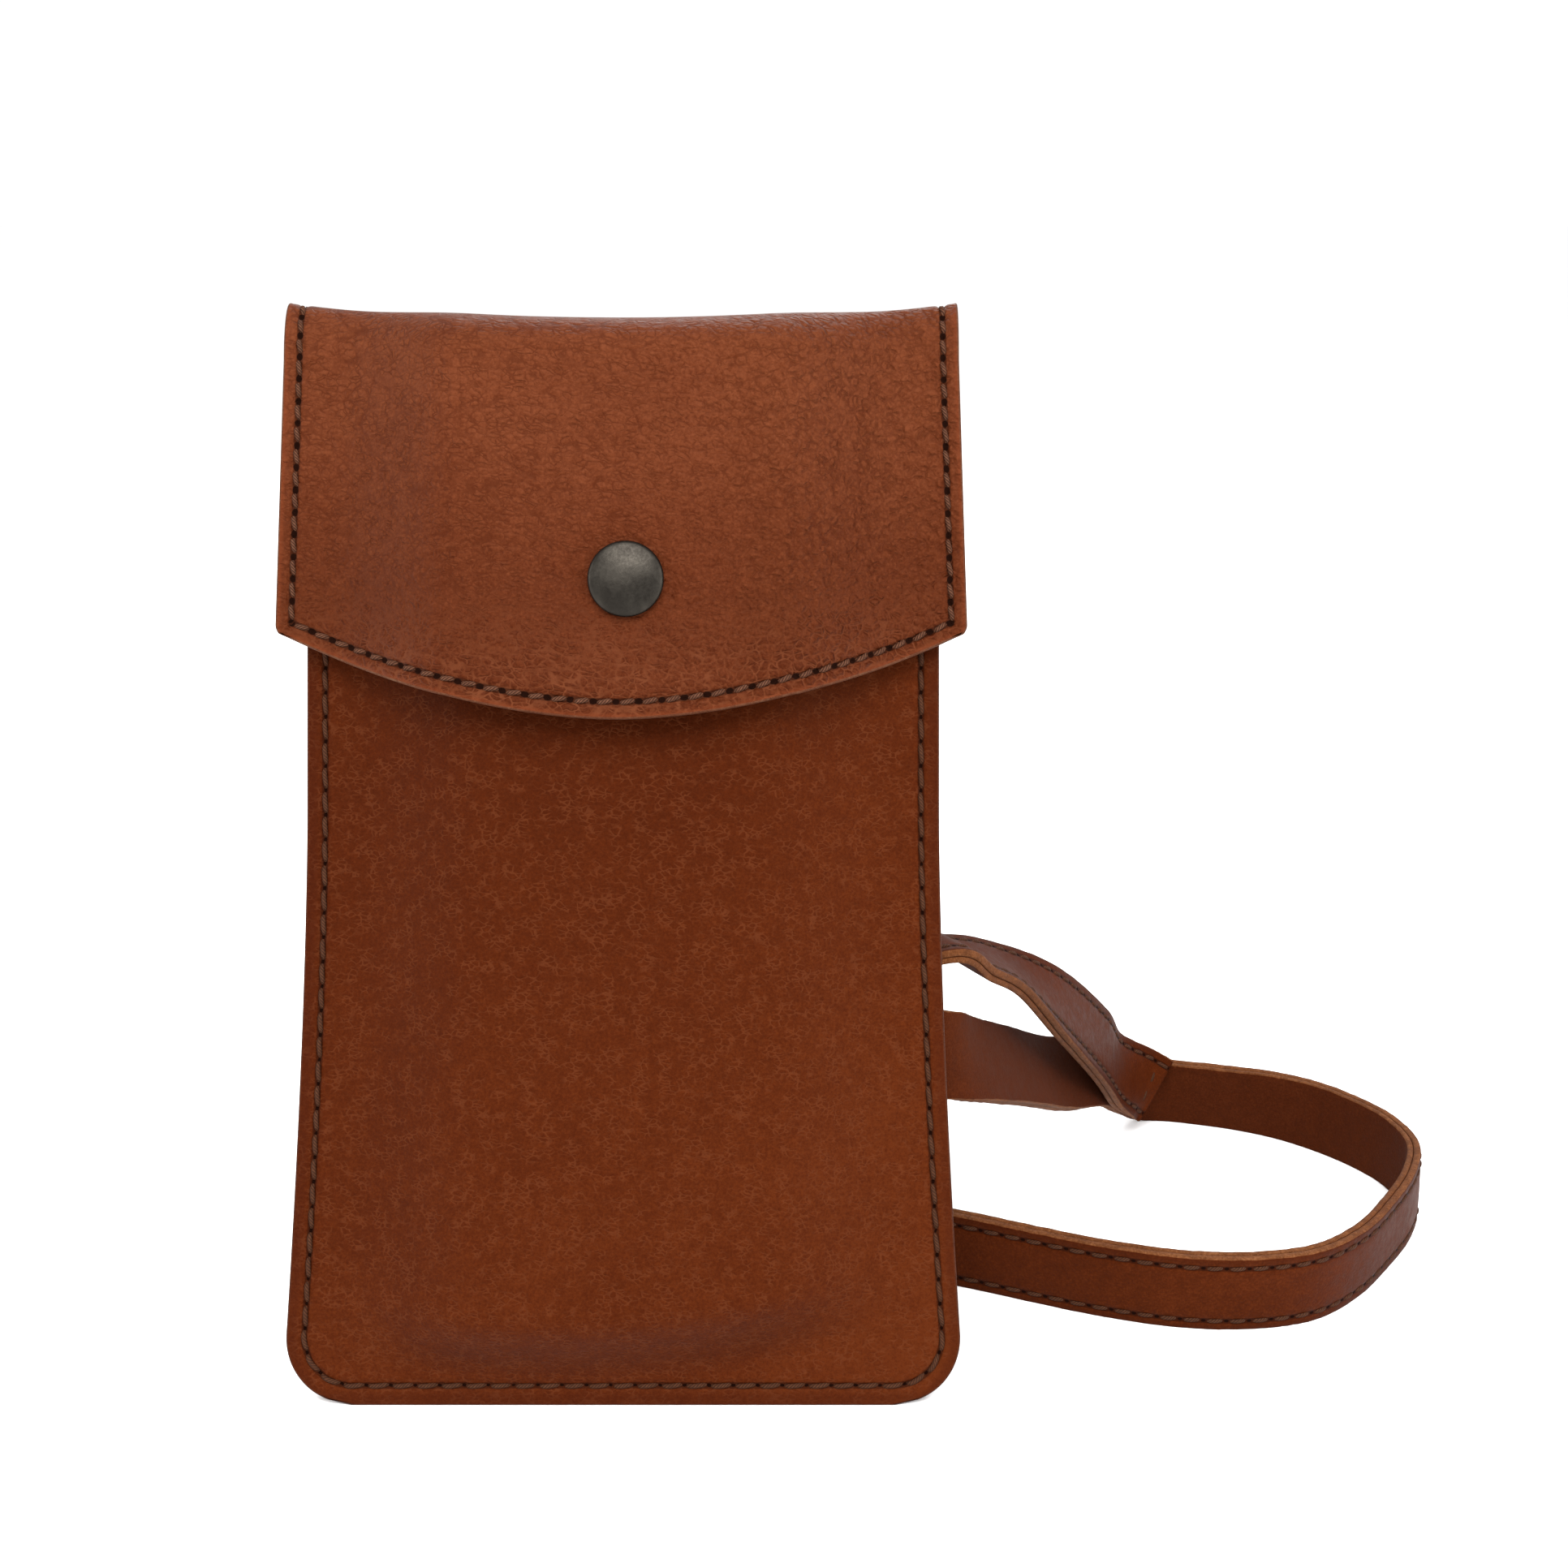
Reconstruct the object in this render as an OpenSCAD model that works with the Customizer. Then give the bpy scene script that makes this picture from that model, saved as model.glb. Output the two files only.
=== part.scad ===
// Leather phone pouch with a snap flap and a shoulder strap.
// It stands on its bottom edge, leaning back on the strap that lies behind it.
// The origin is the middle of the front panel's bottom edge, on the floor.
// u runs across the pouch, v up its face and w through it, from front to back.

/* [Body] */
// Height from the bottom edge to the top of the fold, along the face
pouch_h = 180; // [165:1:200]
// Width across the waist, the narrowest place
waist_w = 103.4; // [96:0.2:112]
// Width at the bottom edge, before the corners are rounded
base_w = 111.8; // [106:0.2:118]
// Height of the waist above the bottom edge
waist_v = 97; // [80:1:115]
// Radius of the two bottom corners
corner_r = 11.5; // [6:0.5:14]
// Thickness of the body leather
hide_t = 1.8; // [1.4:0.1:2.2]
// Width of the flat sewn margin
margin_w = 5.5; // [5:0.5:8]
// Width over which the panels rise from the margin
shoulder_w = 22; // [16:1:26]
// Depth that the front panel stands out
front_bulge = 7.5; // [6:0.5:10]
// Depth that the back panel stands out
back_bulge = 1.5; // [1:0.5:2.5]
// Angle that the pouch leans back
lean = 15; // [12:1:18]

/* [Flap] */
// Width of the flap at the fold
flap_top_w = 108.6; // [104:0.2:114]
// Width of the flap at its lower corners
flap_low_w = 112; // [106:0.5:118]
// Drop from the fold to the lower corners
flap_side_h = 54; // [48:1:60]
// Extra drop of the flap's edge in the middle
flap_arc_h = 14.5; // [10:0.5:18]
// Thickness of the flap leather
flap_t = 1.6; // [1.2:0.1:2]
// Thickness of the flap lining
lining_t = 1; // [0.8:0.1:1.2]
// Height of the fold's arch above the ends of the panels
fold_h = 10; // [8:0.5:12]
// How much lower the fold is in the middle
fold_dip = 3.6; // [1:0.2:4]
// Height of the flap's tail that is sewn on the back
tail_h = 24; // [18:1:30]

/* [Snap] */
// Diameter of the snap's cap
cap_d = 12; // [11:0.5:15]
// Height of the cap's dome
cap_h = 2; // [1.6:0.1:2.6]
// Distance of the snap below the top of the fold
snap_drop = 46.5; // [42:0.5:50]
// Distance of the snap to the right of the middle
snap_u = 1.5; // [-2:0.5:3]
// Diameter of the socket under the flap
socket_d = 10.5; // [9.5:0.5:12]
// Height of the socket
socket_h = 3; // [2.8:0.1:3.6]
// Diameter of the stud's head
stud_d = 4; // [3.6:0.1:4.4]

/* [Belt loop] */
// Width of the belt loop
loop_band_w = 26; // [20:1:32]
// Height of the belt loop's lower end
loop_low_v = 38; // [34:1:42]
// Height of the belt loop's upper end
loop_top_v = 140; // [134:1:142]
// Depth of the gap under the belt loop
loop_gap = 8; // [7:0.5:9]

/* [Strap] */
// Width of the strap
strap_w = 14.8; // [13:0.2:16]
// Thickness of the strap's outer leather
strap_t = 1.4; // [1:0.1:1.6]
// Thickness of the strap's lining
strap_lining_t = 1.2; // [0.8:0.1:1.3]
// Reach that the strap's loop on the floor is drawn in
strap_reach = 100; // [96:1:110]
// Radius of the strap's second loop, behind the pouch
back_loop_r = 41; // [36:1:44]

/* [Thread] */
// Diameter of the thread
thread_d = 0.8; // [0.6:0.1:1]
// Length of one stitch with its gap
pitch = 4; // [3:0.1:5]
// Distance of the body's seam from the edge
body_inset = 3; // [2.5:0.1:3.4]
// Distance of the flap's seam from its edge
flap_inset = 2.6; // [2.2:0.1:3.2]
// Distance of the strap's seams from its edges
strap_inset = 2; // [1.6:0.1:2.4]

/* [Hidden] */
$fn = 48;
// Gap that keeps parts which move or lie loose off each other
clear = 0.3;
// Overrun of every cut
over = 1;
// Faces of the body leather, from front to back, at the flat margin
front_out = -hide_t / 2;
seam_w = hide_t / 2;
back_out = seam_w + hide_t;
// Height at which the panels end and the fold begins
fold_v = pouch_h - fold_h;
// Height of the mouth, at the front panel's upper edge
mouth_v = fold_v - 2 * hide_t;
stud_flange_t = hide_t / 2;
// Inner face, glue line and outer face of the flap at its flat side margins, and
// how much more than the front panel it rises, which the snap between them needs
flap_in = front_out - thread_d - 2 * clear;
flap_rise = socket_h + stud_flange_t + clear + flap_in - front_out;
flap_mid = flap_in - lining_t;
flap_out = flap_mid - flap_t;
// Hinge axis of the flap, in the leather at the top of the fold
hinge_v = pouch_h + flap_t / 2;
hinge_w = front_out - front_bulge / 2;

// Point of the leaning pouch: across, up the face, through it
function at(u, v, w) = [u, v * sin(lean) + w * cos(lean), v * cos(lean) - w * sin(lean)];
function along_v() = [0, sin(lean), cos(lean)];
function along_w() = [0, cos(lean), -sin(lean)];
// Smooth step from 0 to 1
function step(x) = let (c = min(max(x, 0), 1)) c * c * (3 - 2 * c);
// Half the body's width, first without and then with the round corners
flare_power_share = 1.6;
function side_u(v) = waist_w / 2
    + (base_w - waist_w) / 2 * pow(max(waist_v - v, 0) / waist_v, flare_power_share);
function half_u(v) = side_u(v) - corner_r
    + sqrt(max(corner_r * corner_r - pow(max(corner_r - v, 0), 2), 0));
// Share of the bulge at a place on the panels
function swell(u, v) = step((side_u(v) - abs(u) - margin_w) / shoulder_w)
    * step((v - margin_w) / shoulder_w);
// Share of the flap's bulge at a distance across
function flap_swell(u, v) = step((flap_half(v) - abs(u) - margin_w) / shoulder_w);
function flap_half(v) = flap_top_w / 2
    + (flap_low_w - flap_top_w) / 2 * (pouch_h - v) / flap_side_h;
// Lower edge of the flap
arc_power_share = 1.85;
function flap_low_v(u) = pouch_h - flap_side_h - flap_arc_h
    + flap_arc_h * pow(min(2 * abs(u) / flap_low_w, 1), arc_power_share);
// Height of the plateau faces of both panels and of the flap
front_top_w = front_out - front_bulge;
back_top_w = back_out + back_bulge;
flap_top_in = flap_in - front_bulge - flap_rise;

function backwards(list) = [for (i = [len(list) - 1 : -1 : 0]) list[i]];
// Places of a panel's columns, as distances from its edge, and of its rows
rise_shares = [0, 0.17, 0.34, 0.5, 0.66, 0.83, 1];
function edge_steps() = concat([0], [for (s = rise_shares) margin_w + s * shoulder_w]);
middle_shares = [1, 0.75, 0.5, 0.25];
function columns(half) = let (d = edge_steps(), n = len(d), inner = half - d[n - 1])
    concat([for (k = [0 : n - 2]) d[k] - half], [for (s = middle_shares) -s * inner], [0],
        [for (s = backwards(middle_shares)) s * inner], [for (k = [n - 2 : -1 : 0]) half - d[k]]);
corner_shares = [0, 0.09, 0.2, 0.4, 0.68];
upper_shares = [0.25, 0.5, 0.75, 1];
function rows(top) = concat([for (s = corner_shares) s * corner_r],
    [for (s = rise_shares) corner_r + s * shoulder_w],
    [for (s = upper_shares) corner_r + shoulder_w + s * (top - corner_r - shoulder_w)]);

// Closed solid between a front and a back grid of points
module shell(front, back) {
    m = len(front);
    n = len(front[0]);
    far = m * n;
    points = [for (grid = [front, back]) for (row = grid) for (p = row) p];
    cells = [for (i = [0 : m - 2]) for (j = [0 : n - 2]) i * n + j];
    front_faces = [for (a = cells) for (f = [[a, a + n, a + n + 1], [a, a + n + 1, a + 1]]) f];
    back_faces = [for (a = cells) for (f = [[a, a + n + 1, a + n], [a, a + 1, a + n + 1]]) far * [1, 1, 1] + f];
    low = [for (j = [0 : n - 2]) for (f = [[j, j + 1, far + j + 1], [j, far + j + 1, far + j]]) f];
    top_a = (m - 1) * n;
    top = [for (j = [0 : n - 2]) let (a = top_a + j)
        for (f = [[a + 1, a, far + a], [a + 1, far + a, far + a + 1]]) f];
    left = [for (i = [0 : m - 2]) let (a = i * n)
        for (f = [[a + n, a, far + a], [a + n, far + a, far + a + n]]) f];
    right = [for (i = [0 : m - 2]) let (a = i * n + n - 1)
        for (f = [[a, a + n, far + a + n], [a, far + a + n, far + a]]) f];
    polyhedron(points, concat(front_faces, back_faces, low, top, left, right));
}

// Grid of a panel's face that stands depth in front of the seam plane
function panel_face(top, w, bulge) = [for (v = rows(top)) [for (u = columns(half_u(v)))
    v > 0 ? at(u, v, w + bulge * swell(u, v)) : at(u, w * tan(lean), w)]];

// Places a round piece on the face: its own Z axis points out of the front
module face_on(u, v, w) {
    translate(at(u, v, w)) rotate([90 - lean, 0, 0]) children();
}

// One straight stitch between two needle holes
stitch_share = 0.82;
module stitch(a, b) {
    d = b - a;
    long = norm(d);
    translate(a + d * (1 - stitch_share) / 2)
        rotate([0, acos(d[2] / long), atan2(d[1], d[0])])
            cylinder(d = thread_d, h = long * stitch_share, $fn = 16);
}
module seam(points) {
    for (i = [0 : len(points) - 2]) stitch(points[i], points[i + 1]);
}

snap_v = pouch_h - snap_drop;
post_d = stud_d * 3 / 4;
post_hole_d = post_d + clear;

module front_panel() {
    color("saddlebrown") difference() {
        shell(panel_face(mouth_v, front_out, -front_bulge), panel_face(mouth_v, seam_w, -front_bulge));
        face_on(snap_u, snap_v, front_top_w + hide_t + over)
            cylinder(d = post_hole_d, h = hide_t + 2 * over);
    }
}

module back_panel() {
    color("saddlebrown")
        shell(panel_face(fold_v, seam_w, back_bulge), panel_face(fold_v, back_out, back_bulge));
}

// Line of the body's seam: down the left side, round the bottom and up again
side_n = round((mouth_v - corner_r) / pitch);
bottom_n = round((base_w - 2 * corner_r) / pitch);
turn_r = corner_r - body_inset;
function seam_side(sign) = [for (i = [0 : side_n]) let (v = corner_r + (mouth_v - pitch / 2 - corner_r) * i / side_n)
    [sign * (side_u(v) - body_inset), v]];
function seam_turn(sign) = [for (a = [30, 60]) let (u = side_u(0) - corner_r)
    [sign * (u + turn_r * cos(a)), corner_r - turn_r * sin(a)]];
function seam_floor() = [for (i = [0 : bottom_n])
    [(side_u(0) - corner_r) * (1 - 2 * i / bottom_n), body_inset]];
body_line = concat(backwards(seam_side(1)), seam_turn(1), seam_floor(),
    backwards(seam_turn(-1)), seam_side(-1));

module body_thread() {
    lift = thread_d / 2;
    color("sienna") {
        seam([for (p = body_line) at(p[0], p[1], front_out - lift)]);
        seam([for (p = body_line) if (p[1] < fold_v - tail_h) at(p[0], p[1], back_out + lift)]);
    }
}

// The flap's leather goes on over the fold and down the back as a tail
tail_rows_shares = [0, 0.25, 0.5, 0.75, 1];
function tail_face(w) = [for (s = tail_rows_shares) let (v = fold_v - tail_h * (1 - s))
    [for (u = columns(half_u(v))) at(u, v, w + back_bulge * swell(u, v))]];
module flap_tail() {
    color("chocolate") shell(tail_face(back_out), tail_face(back_out + flap_t));
}

// Arch of the fold at one place across, from the tail to the flap
fold_steps = 14;
function fold_arch(u, t) = let (
        s = flap_swell(u, fold_v),
        rear = back_out + back_bulge * swell(u, fold_v),
        fore = flap_mid - (front_bulge + flap_rise) * s,
        half = (rear - fore) / 2,
        high = fold_h - flap_t - fold_dip * s)
    [for (i = [0 : fold_steps]) let (a = 180 * i / fold_steps)
        at(u, fold_v + (high + t) * sin(a), (rear + fore) / 2 + (half + t) * cos(a))];
function fold_columns() = columns(flap_half(fold_v));
module flap_fold() {
    inner = [for (u = fold_columns()) fold_arch(u, 0)];
    outer = [for (u = fold_columns()) fold_arch(u, flap_t)];
    color("chocolate") shell(outer, inner);
}

module tail_thread() {
    n = round((waist_w - 2 * body_inset) / pitch);
    v = fold_v - tail_h + body_inset;
    reach = waist_w / 2 - body_inset;
    color("sienna") seam([for (i = [0 : n]) let (u = reach * (2 * i / n - 1))
        at(u, v, back_out + flap_t + thread_d + back_bulge * swell(u, v))]);
}

// Face of the flap: straight down from the fold, rounded across
flap_row_shares = [0, 0.1, 0.25, 0.5, 0.75, 1];
flap_top_v = fold_v - clear;
function flap_face(w) = [for (s = flap_row_shares)
    [for (c = columns(flap_low_w / 2))
        let (low = flap_low_v(c), v = low + (flap_top_v - low) * s,
            u = c * flap_half(v) / (flap_low_w / 2))
        at(u, v, w - (front_bulge + flap_rise) * flap_swell(u, v))]];

module flap() {
    color("chocolate") difference() {
        shell(flap_face(flap_out), flap_face(flap_mid));
        face_on(snap_u, snap_v, flap_top_in + over)
            cylinder(d = post_hole_d, h = lining_t + flap_t + 2 * over);
    }
}

module flap_lining() {
    color("peru") difference() {
        shell(flap_face(flap_mid), flap_face(flap_in));
        face_on(snap_u, snap_v, flap_top_in + over)
            cylinder(d = post_hole_d, h = lining_t + flap_t + 2 * over);
    }
}

// Line of the flap's seam, as points across and up
function flap_seam_side(sign) = let (low = flap_low_v(flap_low_w / 2) + flap_inset,
        n = round((flap_top_v - low) / pitch))
    [for (i = [0 : n]) let (v = low + (flap_top_v - low) * i / n) [sign * (flap_half(v) - flap_inset), v]];
function flap_seam_low() = let (n = round(flap_low_w / pitch), reach = flap_low_w / 2 - 2 * flap_inset)
    [for (i = [0 : n]) let (u = reach * (1 - 2 * i / n)) [u, flap_low_v(u) + flap_inset]];
flap_line = concat(backwards(flap_seam_side(1)), flap_seam_low(), flap_seam_side(-1));
module flap_thread() {
    color("sienna") seam([for (p = flap_line)
        at(p[0], p[1], flap_out - thread_d * 0.75 - (front_bulge + flap_rise) * flap_swell(p[0], p[1]))]);
}

// The cap: a domed disc with a rolled rim and a post through the flap
cap_post_h = lining_t + flap_t;
module snap_cap() {
    rim = cap_h / 2;
    ball = (pow(cap_d / 2, 2) + rim * rim) / (2 * rim);
    color("dimgray") face_on(snap_u, snap_v, flap_top_in - lining_t - flap_t) {
        cylinder(d = cap_d, h = rim);
        translate([0, 0, rim]) intersection() {
            cylinder(d = cap_d, h = rim);
            translate([0, 0, rim - ball]) sphere(r = ball, $fn = 96);
        }
        translate([0, 0, -cap_post_h]) cylinder(d = post_d, h = cap_post_h);
    }
}

// The socket: a cup under the flap, open towards the stud
socket_bore_d = stud_d + 5 * clear;
stud_head_h = socket_h - 3 * clear;
// The groove in the socket's bore and the wire ring that lies in it
spring_wire = 2 * clear;
spring_d = socket_bore_d + clear;
spring_z = clear;
module snap_socket() {
    color("gray") face_on(snap_u, snap_v, flap_top_in + socket_h) difference() {
        union() {
            cylinder(d = socket_d - hide_t, h = socket_h);
            translate([0, 0, socket_h / 2]) cylinder(d = socket_d, h = socket_h / 2);
        }
        translate([0, 0, -over]) cylinder(d = socket_bore_d, h = stud_head_h + clear + over);
        translate([0, 0, spring_z]) cylinder(d = spring_d + 2 * spring_wire + clear, h = spring_wire + clear);
    }
}

// The spring: a ring of wire in the socket's groove
module snap_spring() {
    color("silver") face_on(snap_u, snap_v, flap_top_in + socket_h)
        translate([0, 0, spring_z + clear / 2 + spring_wire / 2])
            rotate_extrude($fn = 64) translate([spring_d / 2 + spring_wire / 2, 0]) circle(d = spring_wire, $fn = 24);
}

module snap_stud() {
    color("gray") face_on(snap_u, snap_v, front_top_w) difference() {
        union() {
            cylinder(d = socket_d - clear, h = stud_flange_t);
            cylinder(d = post_d + hide_t / 3, h = stud_flange_t + stud_head_h - clear);
            translate([0, 0, stud_flange_t + stud_head_h / 2]) cylinder(d = stud_d, h = stud_head_h / 2 - clear);
        }
        translate([0, 0, -over]) cylinder(d = post_d, h = over + stud_flange_t + stud_head_h / 2);
    }
}

module snap_post() {
    flange_t = stud_flange_t;
    color("gray") face_on(snap_u, snap_v, front_top_w + hide_t + flange_t) {
        cylinder(d = socket_d - hide_t, h = flange_t);
        cylinder(d = post_d, h = flange_t + hide_t + stud_flange_t + stud_head_h / 2);
    }
}

// The belt loop: a band sewn on at both ends and standing off between them
band_rise_v = 2 * loop_gap;
patch_v = loop_gap + strap_w / 4;
band_side_shares = [-1, -0.5, 0, 0.5, 1];
function band_rows() = concat([loop_low_v], [for (s = rise_shares) loop_low_v + patch_v + s * band_rise_v],
    [for (s = backwards(rise_shares)) loop_top_v - patch_v - s * band_rise_v], [loop_top_v]);
function band_w(v) = back_top_w + loop_gap
    * step(min(v - loop_low_v - patch_v, loop_top_v - patch_v - v) / band_rise_v);
function band_face(w) = [for (v = band_rows()) [for (s = band_side_shares)
    at(s * loop_band_w / 2, v, w + band_w(v))]];
module belt_loop() {
    color("saddlebrown") shell(band_face(0), band_face(hide_t));
}
module belt_loop_thread() {
    lift = hide_t + thread_d / 2;
    reach = loop_band_w / 2 - strap_inset;
    low = loop_low_v + strap_inset;
    high = loop_low_v + patch_v - strap_inset;
    n = round(2 * reach / pitch);
    color("sienna") for (ends = [[low, high], [loop_top_v + loop_low_v - high, loop_top_v + loop_low_v - low]])
        for (v = ends)
            seam([for (i = [0 : n]) at(reach * (2 * i / n - 1), v, back_top_w + lift)]);
}

// The strap is drawn as places of its middle line and the way its width points
function unit(a) = a / norm(a);
full_t = strap_t + strap_lining_t;
half_strap = strap_w / 2;
// A place on the floor: shares of the reach, and how far the upper edge leans
function stand(x_share, y_share, lean_x, lean_y) = let (w = unit([lean_x, lean_y, 1]))
    [[x_share * strap_reach, y_share * strap_reach, 0] + half_strap * w, w];
// A place in the air: shares of the reach
function air(x_share, y_share, z_share, w) = [[x_share, y_share, z_share] * strap_reach, unit(w)];
// A place at the pouch's back: u, v and w, and the turn of the width away from it
function behind(u, v, w, turn) = [at(u, v, w), along_v() * cos(turn) + along_w() * sin(turn)];

// Lines of the eyes round the belt loop: in its gap and behind it
gap_mid_w = back_top_w + loop_gap / 2;
outer_mid_w = back_top_w + loop_gap + hide_t + clear + full_t / 2;
side_w = back_out + clear + full_t / 2;
band_u = loop_band_w / 2;
eye_turn_u = band_u + loop_gap;
first_eye_v = loop_low_v + patch_v + band_rise_v + half_strap;
second_eye_v = first_eye_v + strap_w + loop_gap / 4;
body_u = waist_w / 2;
// The band slopes from its place in the gap to its place behind the loop
function eye(slot_v, back_v) = let (drop = slot_v - back_v, turn_v = (slot_v + back_v) / 2) [
    behind(band_u, slot_v, gap_mid_w, 0), behind(0, slot_v - drop / 4, gap_mid_w, 0),
    behind(-band_u, turn_v, gap_mid_w, 0),
    behind(-eye_turn_u, turn_v, gap_mid_w + full_t / 2, 0),
    behind(-eye_turn_u - full_t, turn_v, (gap_mid_w + outer_mid_w) / 2, 0),
    behind(-eye_turn_u, turn_v, outer_mid_w - full_t / 2, 0),
    behind(-band_u, turn_v, outer_mid_w, 0), behind(0, back_v + drop / 4, outer_mid_w, 0),
    behind(band_u, back_v, outer_mid_w, 0)];

// The strap comes down to the floor at the join, where the first eye is sewn shut
join_run = [
    air(0.918, 0.986, 0.174, [0, 0.42, 0.9]), air(0.986, 1.07, 0.118, [0.06, 0.1, 0.99]),
    stand(1.05, 1.134, 0.1, -0.16)];
// A place that lies on the strap's lining side, next to one of its own places
function lap(i) = let (a = join_run[i], b = join_run[min(i + 1, 2)], c = join_run[max(i - 1, 0)])
    [a[0] + unit(cross(b[0] - c[0], a[1])) * (full_t + 2 * clear) + [0, 0, clear], a[1]];
// First eye: from its sewn end up to the pouch, round the belt loop and back
front_run = [
    (lap(2) + lap(1)) / 2, lap(1), lap(0),
    air(0.889, 0.846, 0.29, [0.09, 0.59, 0.8]),
    air(0.777, 0.653, 0.448, [-0.1, 0.68, 0.73]),
    air(0.65, 0.485, 0.579, [-0.56, 0.72, 0.4]),
    air(0.574, 0.388, 0.635, [-0.66, 0.72, 0.2]),
    air(0.516, 0.318, 0.688, [-0.6, 0.78, 0.1]),
    behind(body_u * 0.78, first_eye_v, gap_mid_w + loop_gap / 2, 60),
    behind(body_u * 0.54, first_eye_v, gap_mid_w + full_t / 2, 25)];
lower_v = first_eye_v - loop_gap;
rear_run = [
    behind(body_u * 0.46, lower_v - loop_gap / 3, outer_mid_w - full_t, 0),
    behind(body_u * 0.7, lower_v - loop_gap * 0.7, gap_mid_w + clear, 0),
    behind(body_u * 0.88, lower_v - loop_gap, side_w + half_strap * 0.4, 0),
    behind(body_u + full_t, lower_v - loop_gap * 1.2, side_w + half_strap, 0),
    air(0.6, 0.352, 0.458, [-0.18, 0.47, 0.86]),
    air(0.694, 0.566, 0.357, [-0.26, 0.51, 0.82]),
    air(0.797, 0.794, 0.247, [-0.25, 0.52, 0.81])];
// Loop on the floor at the right, from the join round to the pouch
floor_run = [
    stand(1.176, 1.106, 0.02, -0.22),
    stand(1.286, 1.053, 0, -0.14), stand(1.37, 0.98, -0.02, -0.04), stand(1.435, 0.895, -0.04, -0.02),
    stand(1.474, 0.81, -0.04, -0.02), stand(1.485, 0.7, -0.04, -0.04), stand(1.442, 0.585, -0.02, -0.08),
    stand(1.37, 0.472, 0.02, -0.1), stand(1.285, 0.36, 0.04, -0.12), stand(1.19, 0.28, 0.02, -0.13),
    stand(1.075, 0.25, 0, -0.13), stand(0.95, 0.257, 0, -0.13), stand(0.82, 0.297, 0, -0.13),
    stand(0.7, 0.35, 0, -0.12), stand(0.58, 0.405, 0, -0.1), stand(0.45, 0.452, 0, -0.06),
    stand(0.3, 0.49, 0, 0)];
// Second loop, hidden behind the pouch, clockwise as seen from above
back_loop_x_share = -0.08;
back_loop_y_share = 0.92;
function back_turn(a) = stand(back_loop_x_share + back_loop_r / strap_reach * cos(a),
    back_loop_y_share + back_loop_r / strap_reach * sin(a), 0, 0);
hidden_run = concat([stand(0.1, 0.51, 0, 0)], [for (a = [-90 : -24 : -354]) back_turn(a)]);
// Rise to the second eye, which ends against its own run
climb_run = [
    air(0.35, 0.79, 0.16, [0, 0.4, 0.9]), air(0.39, 0.7, 0.32, [0, 0.7, 0.7]),
    air(0.425, 0.62, 0.5, [0, 0.7, 0.7]), air(0.44, 0.54, 0.68, [0, 0.65, 0.75]),
    air(0.41, 0.46, 0.82, [0, 0.45, 0.9]),
    behind(body_u * 0.62, second_eye_v + clear, gap_mid_w + 2.4 * full_t, 0),
    behind(body_u * 0.45, second_eye_v, gap_mid_w + full_t / 2, 0)];
end_run = [
    behind(body_u * 0.44, second_eye_v - full_t / 2, gap_mid_w + full_t * 2.1, 0),
    behind(body_u * 0.58, second_eye_v - clear, gap_mid_w + full_t * 3.5, 0)];

strap_way = concat(front_run, eye(first_eye_v, lower_v), rear_run, join_run, floor_run, hidden_run,
    climb_run, eye(second_eye_v, second_eye_v - full_t / 2), end_run);

// Smooth curve through the places, with even steps between them
curve_steps = 4;
function curve(a, b, c, d, t) = (2 * b + (c - a) * t + (2 * a - 5 * b + 4 * c - d) * t * t
    + (3 * b - a - 3 * c + d) * t * t * t) / 2;
way_n = len(strap_way);
function place(i, k) = strap_way[min(max(i, 0), way_n - 1)][k];
function smooth(k) = concat([for (i = [0 : way_n - 2]) for (s = [0 : curve_steps - 1])
    curve(place(i - 1, k), place(i, k), place(i + 1, k), place(i + 2, k), s / curve_steps)],
    [place(way_n - 1, k)]);
mid_line = smooth(0);
width_line = smooth(1);
ring_n = len(mid_line);
// Direction, thickness and width of the strap at one ring, square to each other
function ahead(i) = unit(mid_line[min(i + 1, ring_n - 1)] - mid_line[max(i - 1, 0)]);
function through(i) = unit(cross(ahead(i), width_line[i]));
function across(i) = cross(through(i), ahead(i));
ring_through = [for (i = [0 : ring_n - 1]) through(i)];
ring_across = [for (i = [0 : ring_n - 1]) across(i)];
function on_floor(p) = [p[0], p[1], max(p[2], 0)];
// Four corners of a layer between two edges of the width and two of the thickness
function ring(i, low, high, face, rear) = [for (c = [[low, face], [high, face], [high, rear], [low, rear]])
    on_floor(mid_line[i] + ring_across[i] * c[0] + ring_through[i] * c[1])];
module ribbon(low, high, face, rear, from = 0, to = ring_n - 1) {
    points = [for (i = [from : to]) for (p = ring(i, low, high, face, rear)) p];
    last = 4 * (to - from);
    faces = concat([[0, 1, 2], [0, 2, 3]], [[last + 2, last + 1, last], [last + 3, last + 2, last]],
        [for (i = [0 : to - from - 1]) for (k = [0 : 3]) let (a = 4 * i + k, b = 4 * i + (k + 1) % 4)
            for (f = k < 2 ? [[b, a, a + 4], [b, a + 4, b + 4]] : [[a, a + 4, b + 4], [a, b + 4, b]]) f]);
    polyhedron(points, faces);
}
glue_line = -full_t / 2 + strap_t;
glue_t = clear / 3;
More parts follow.
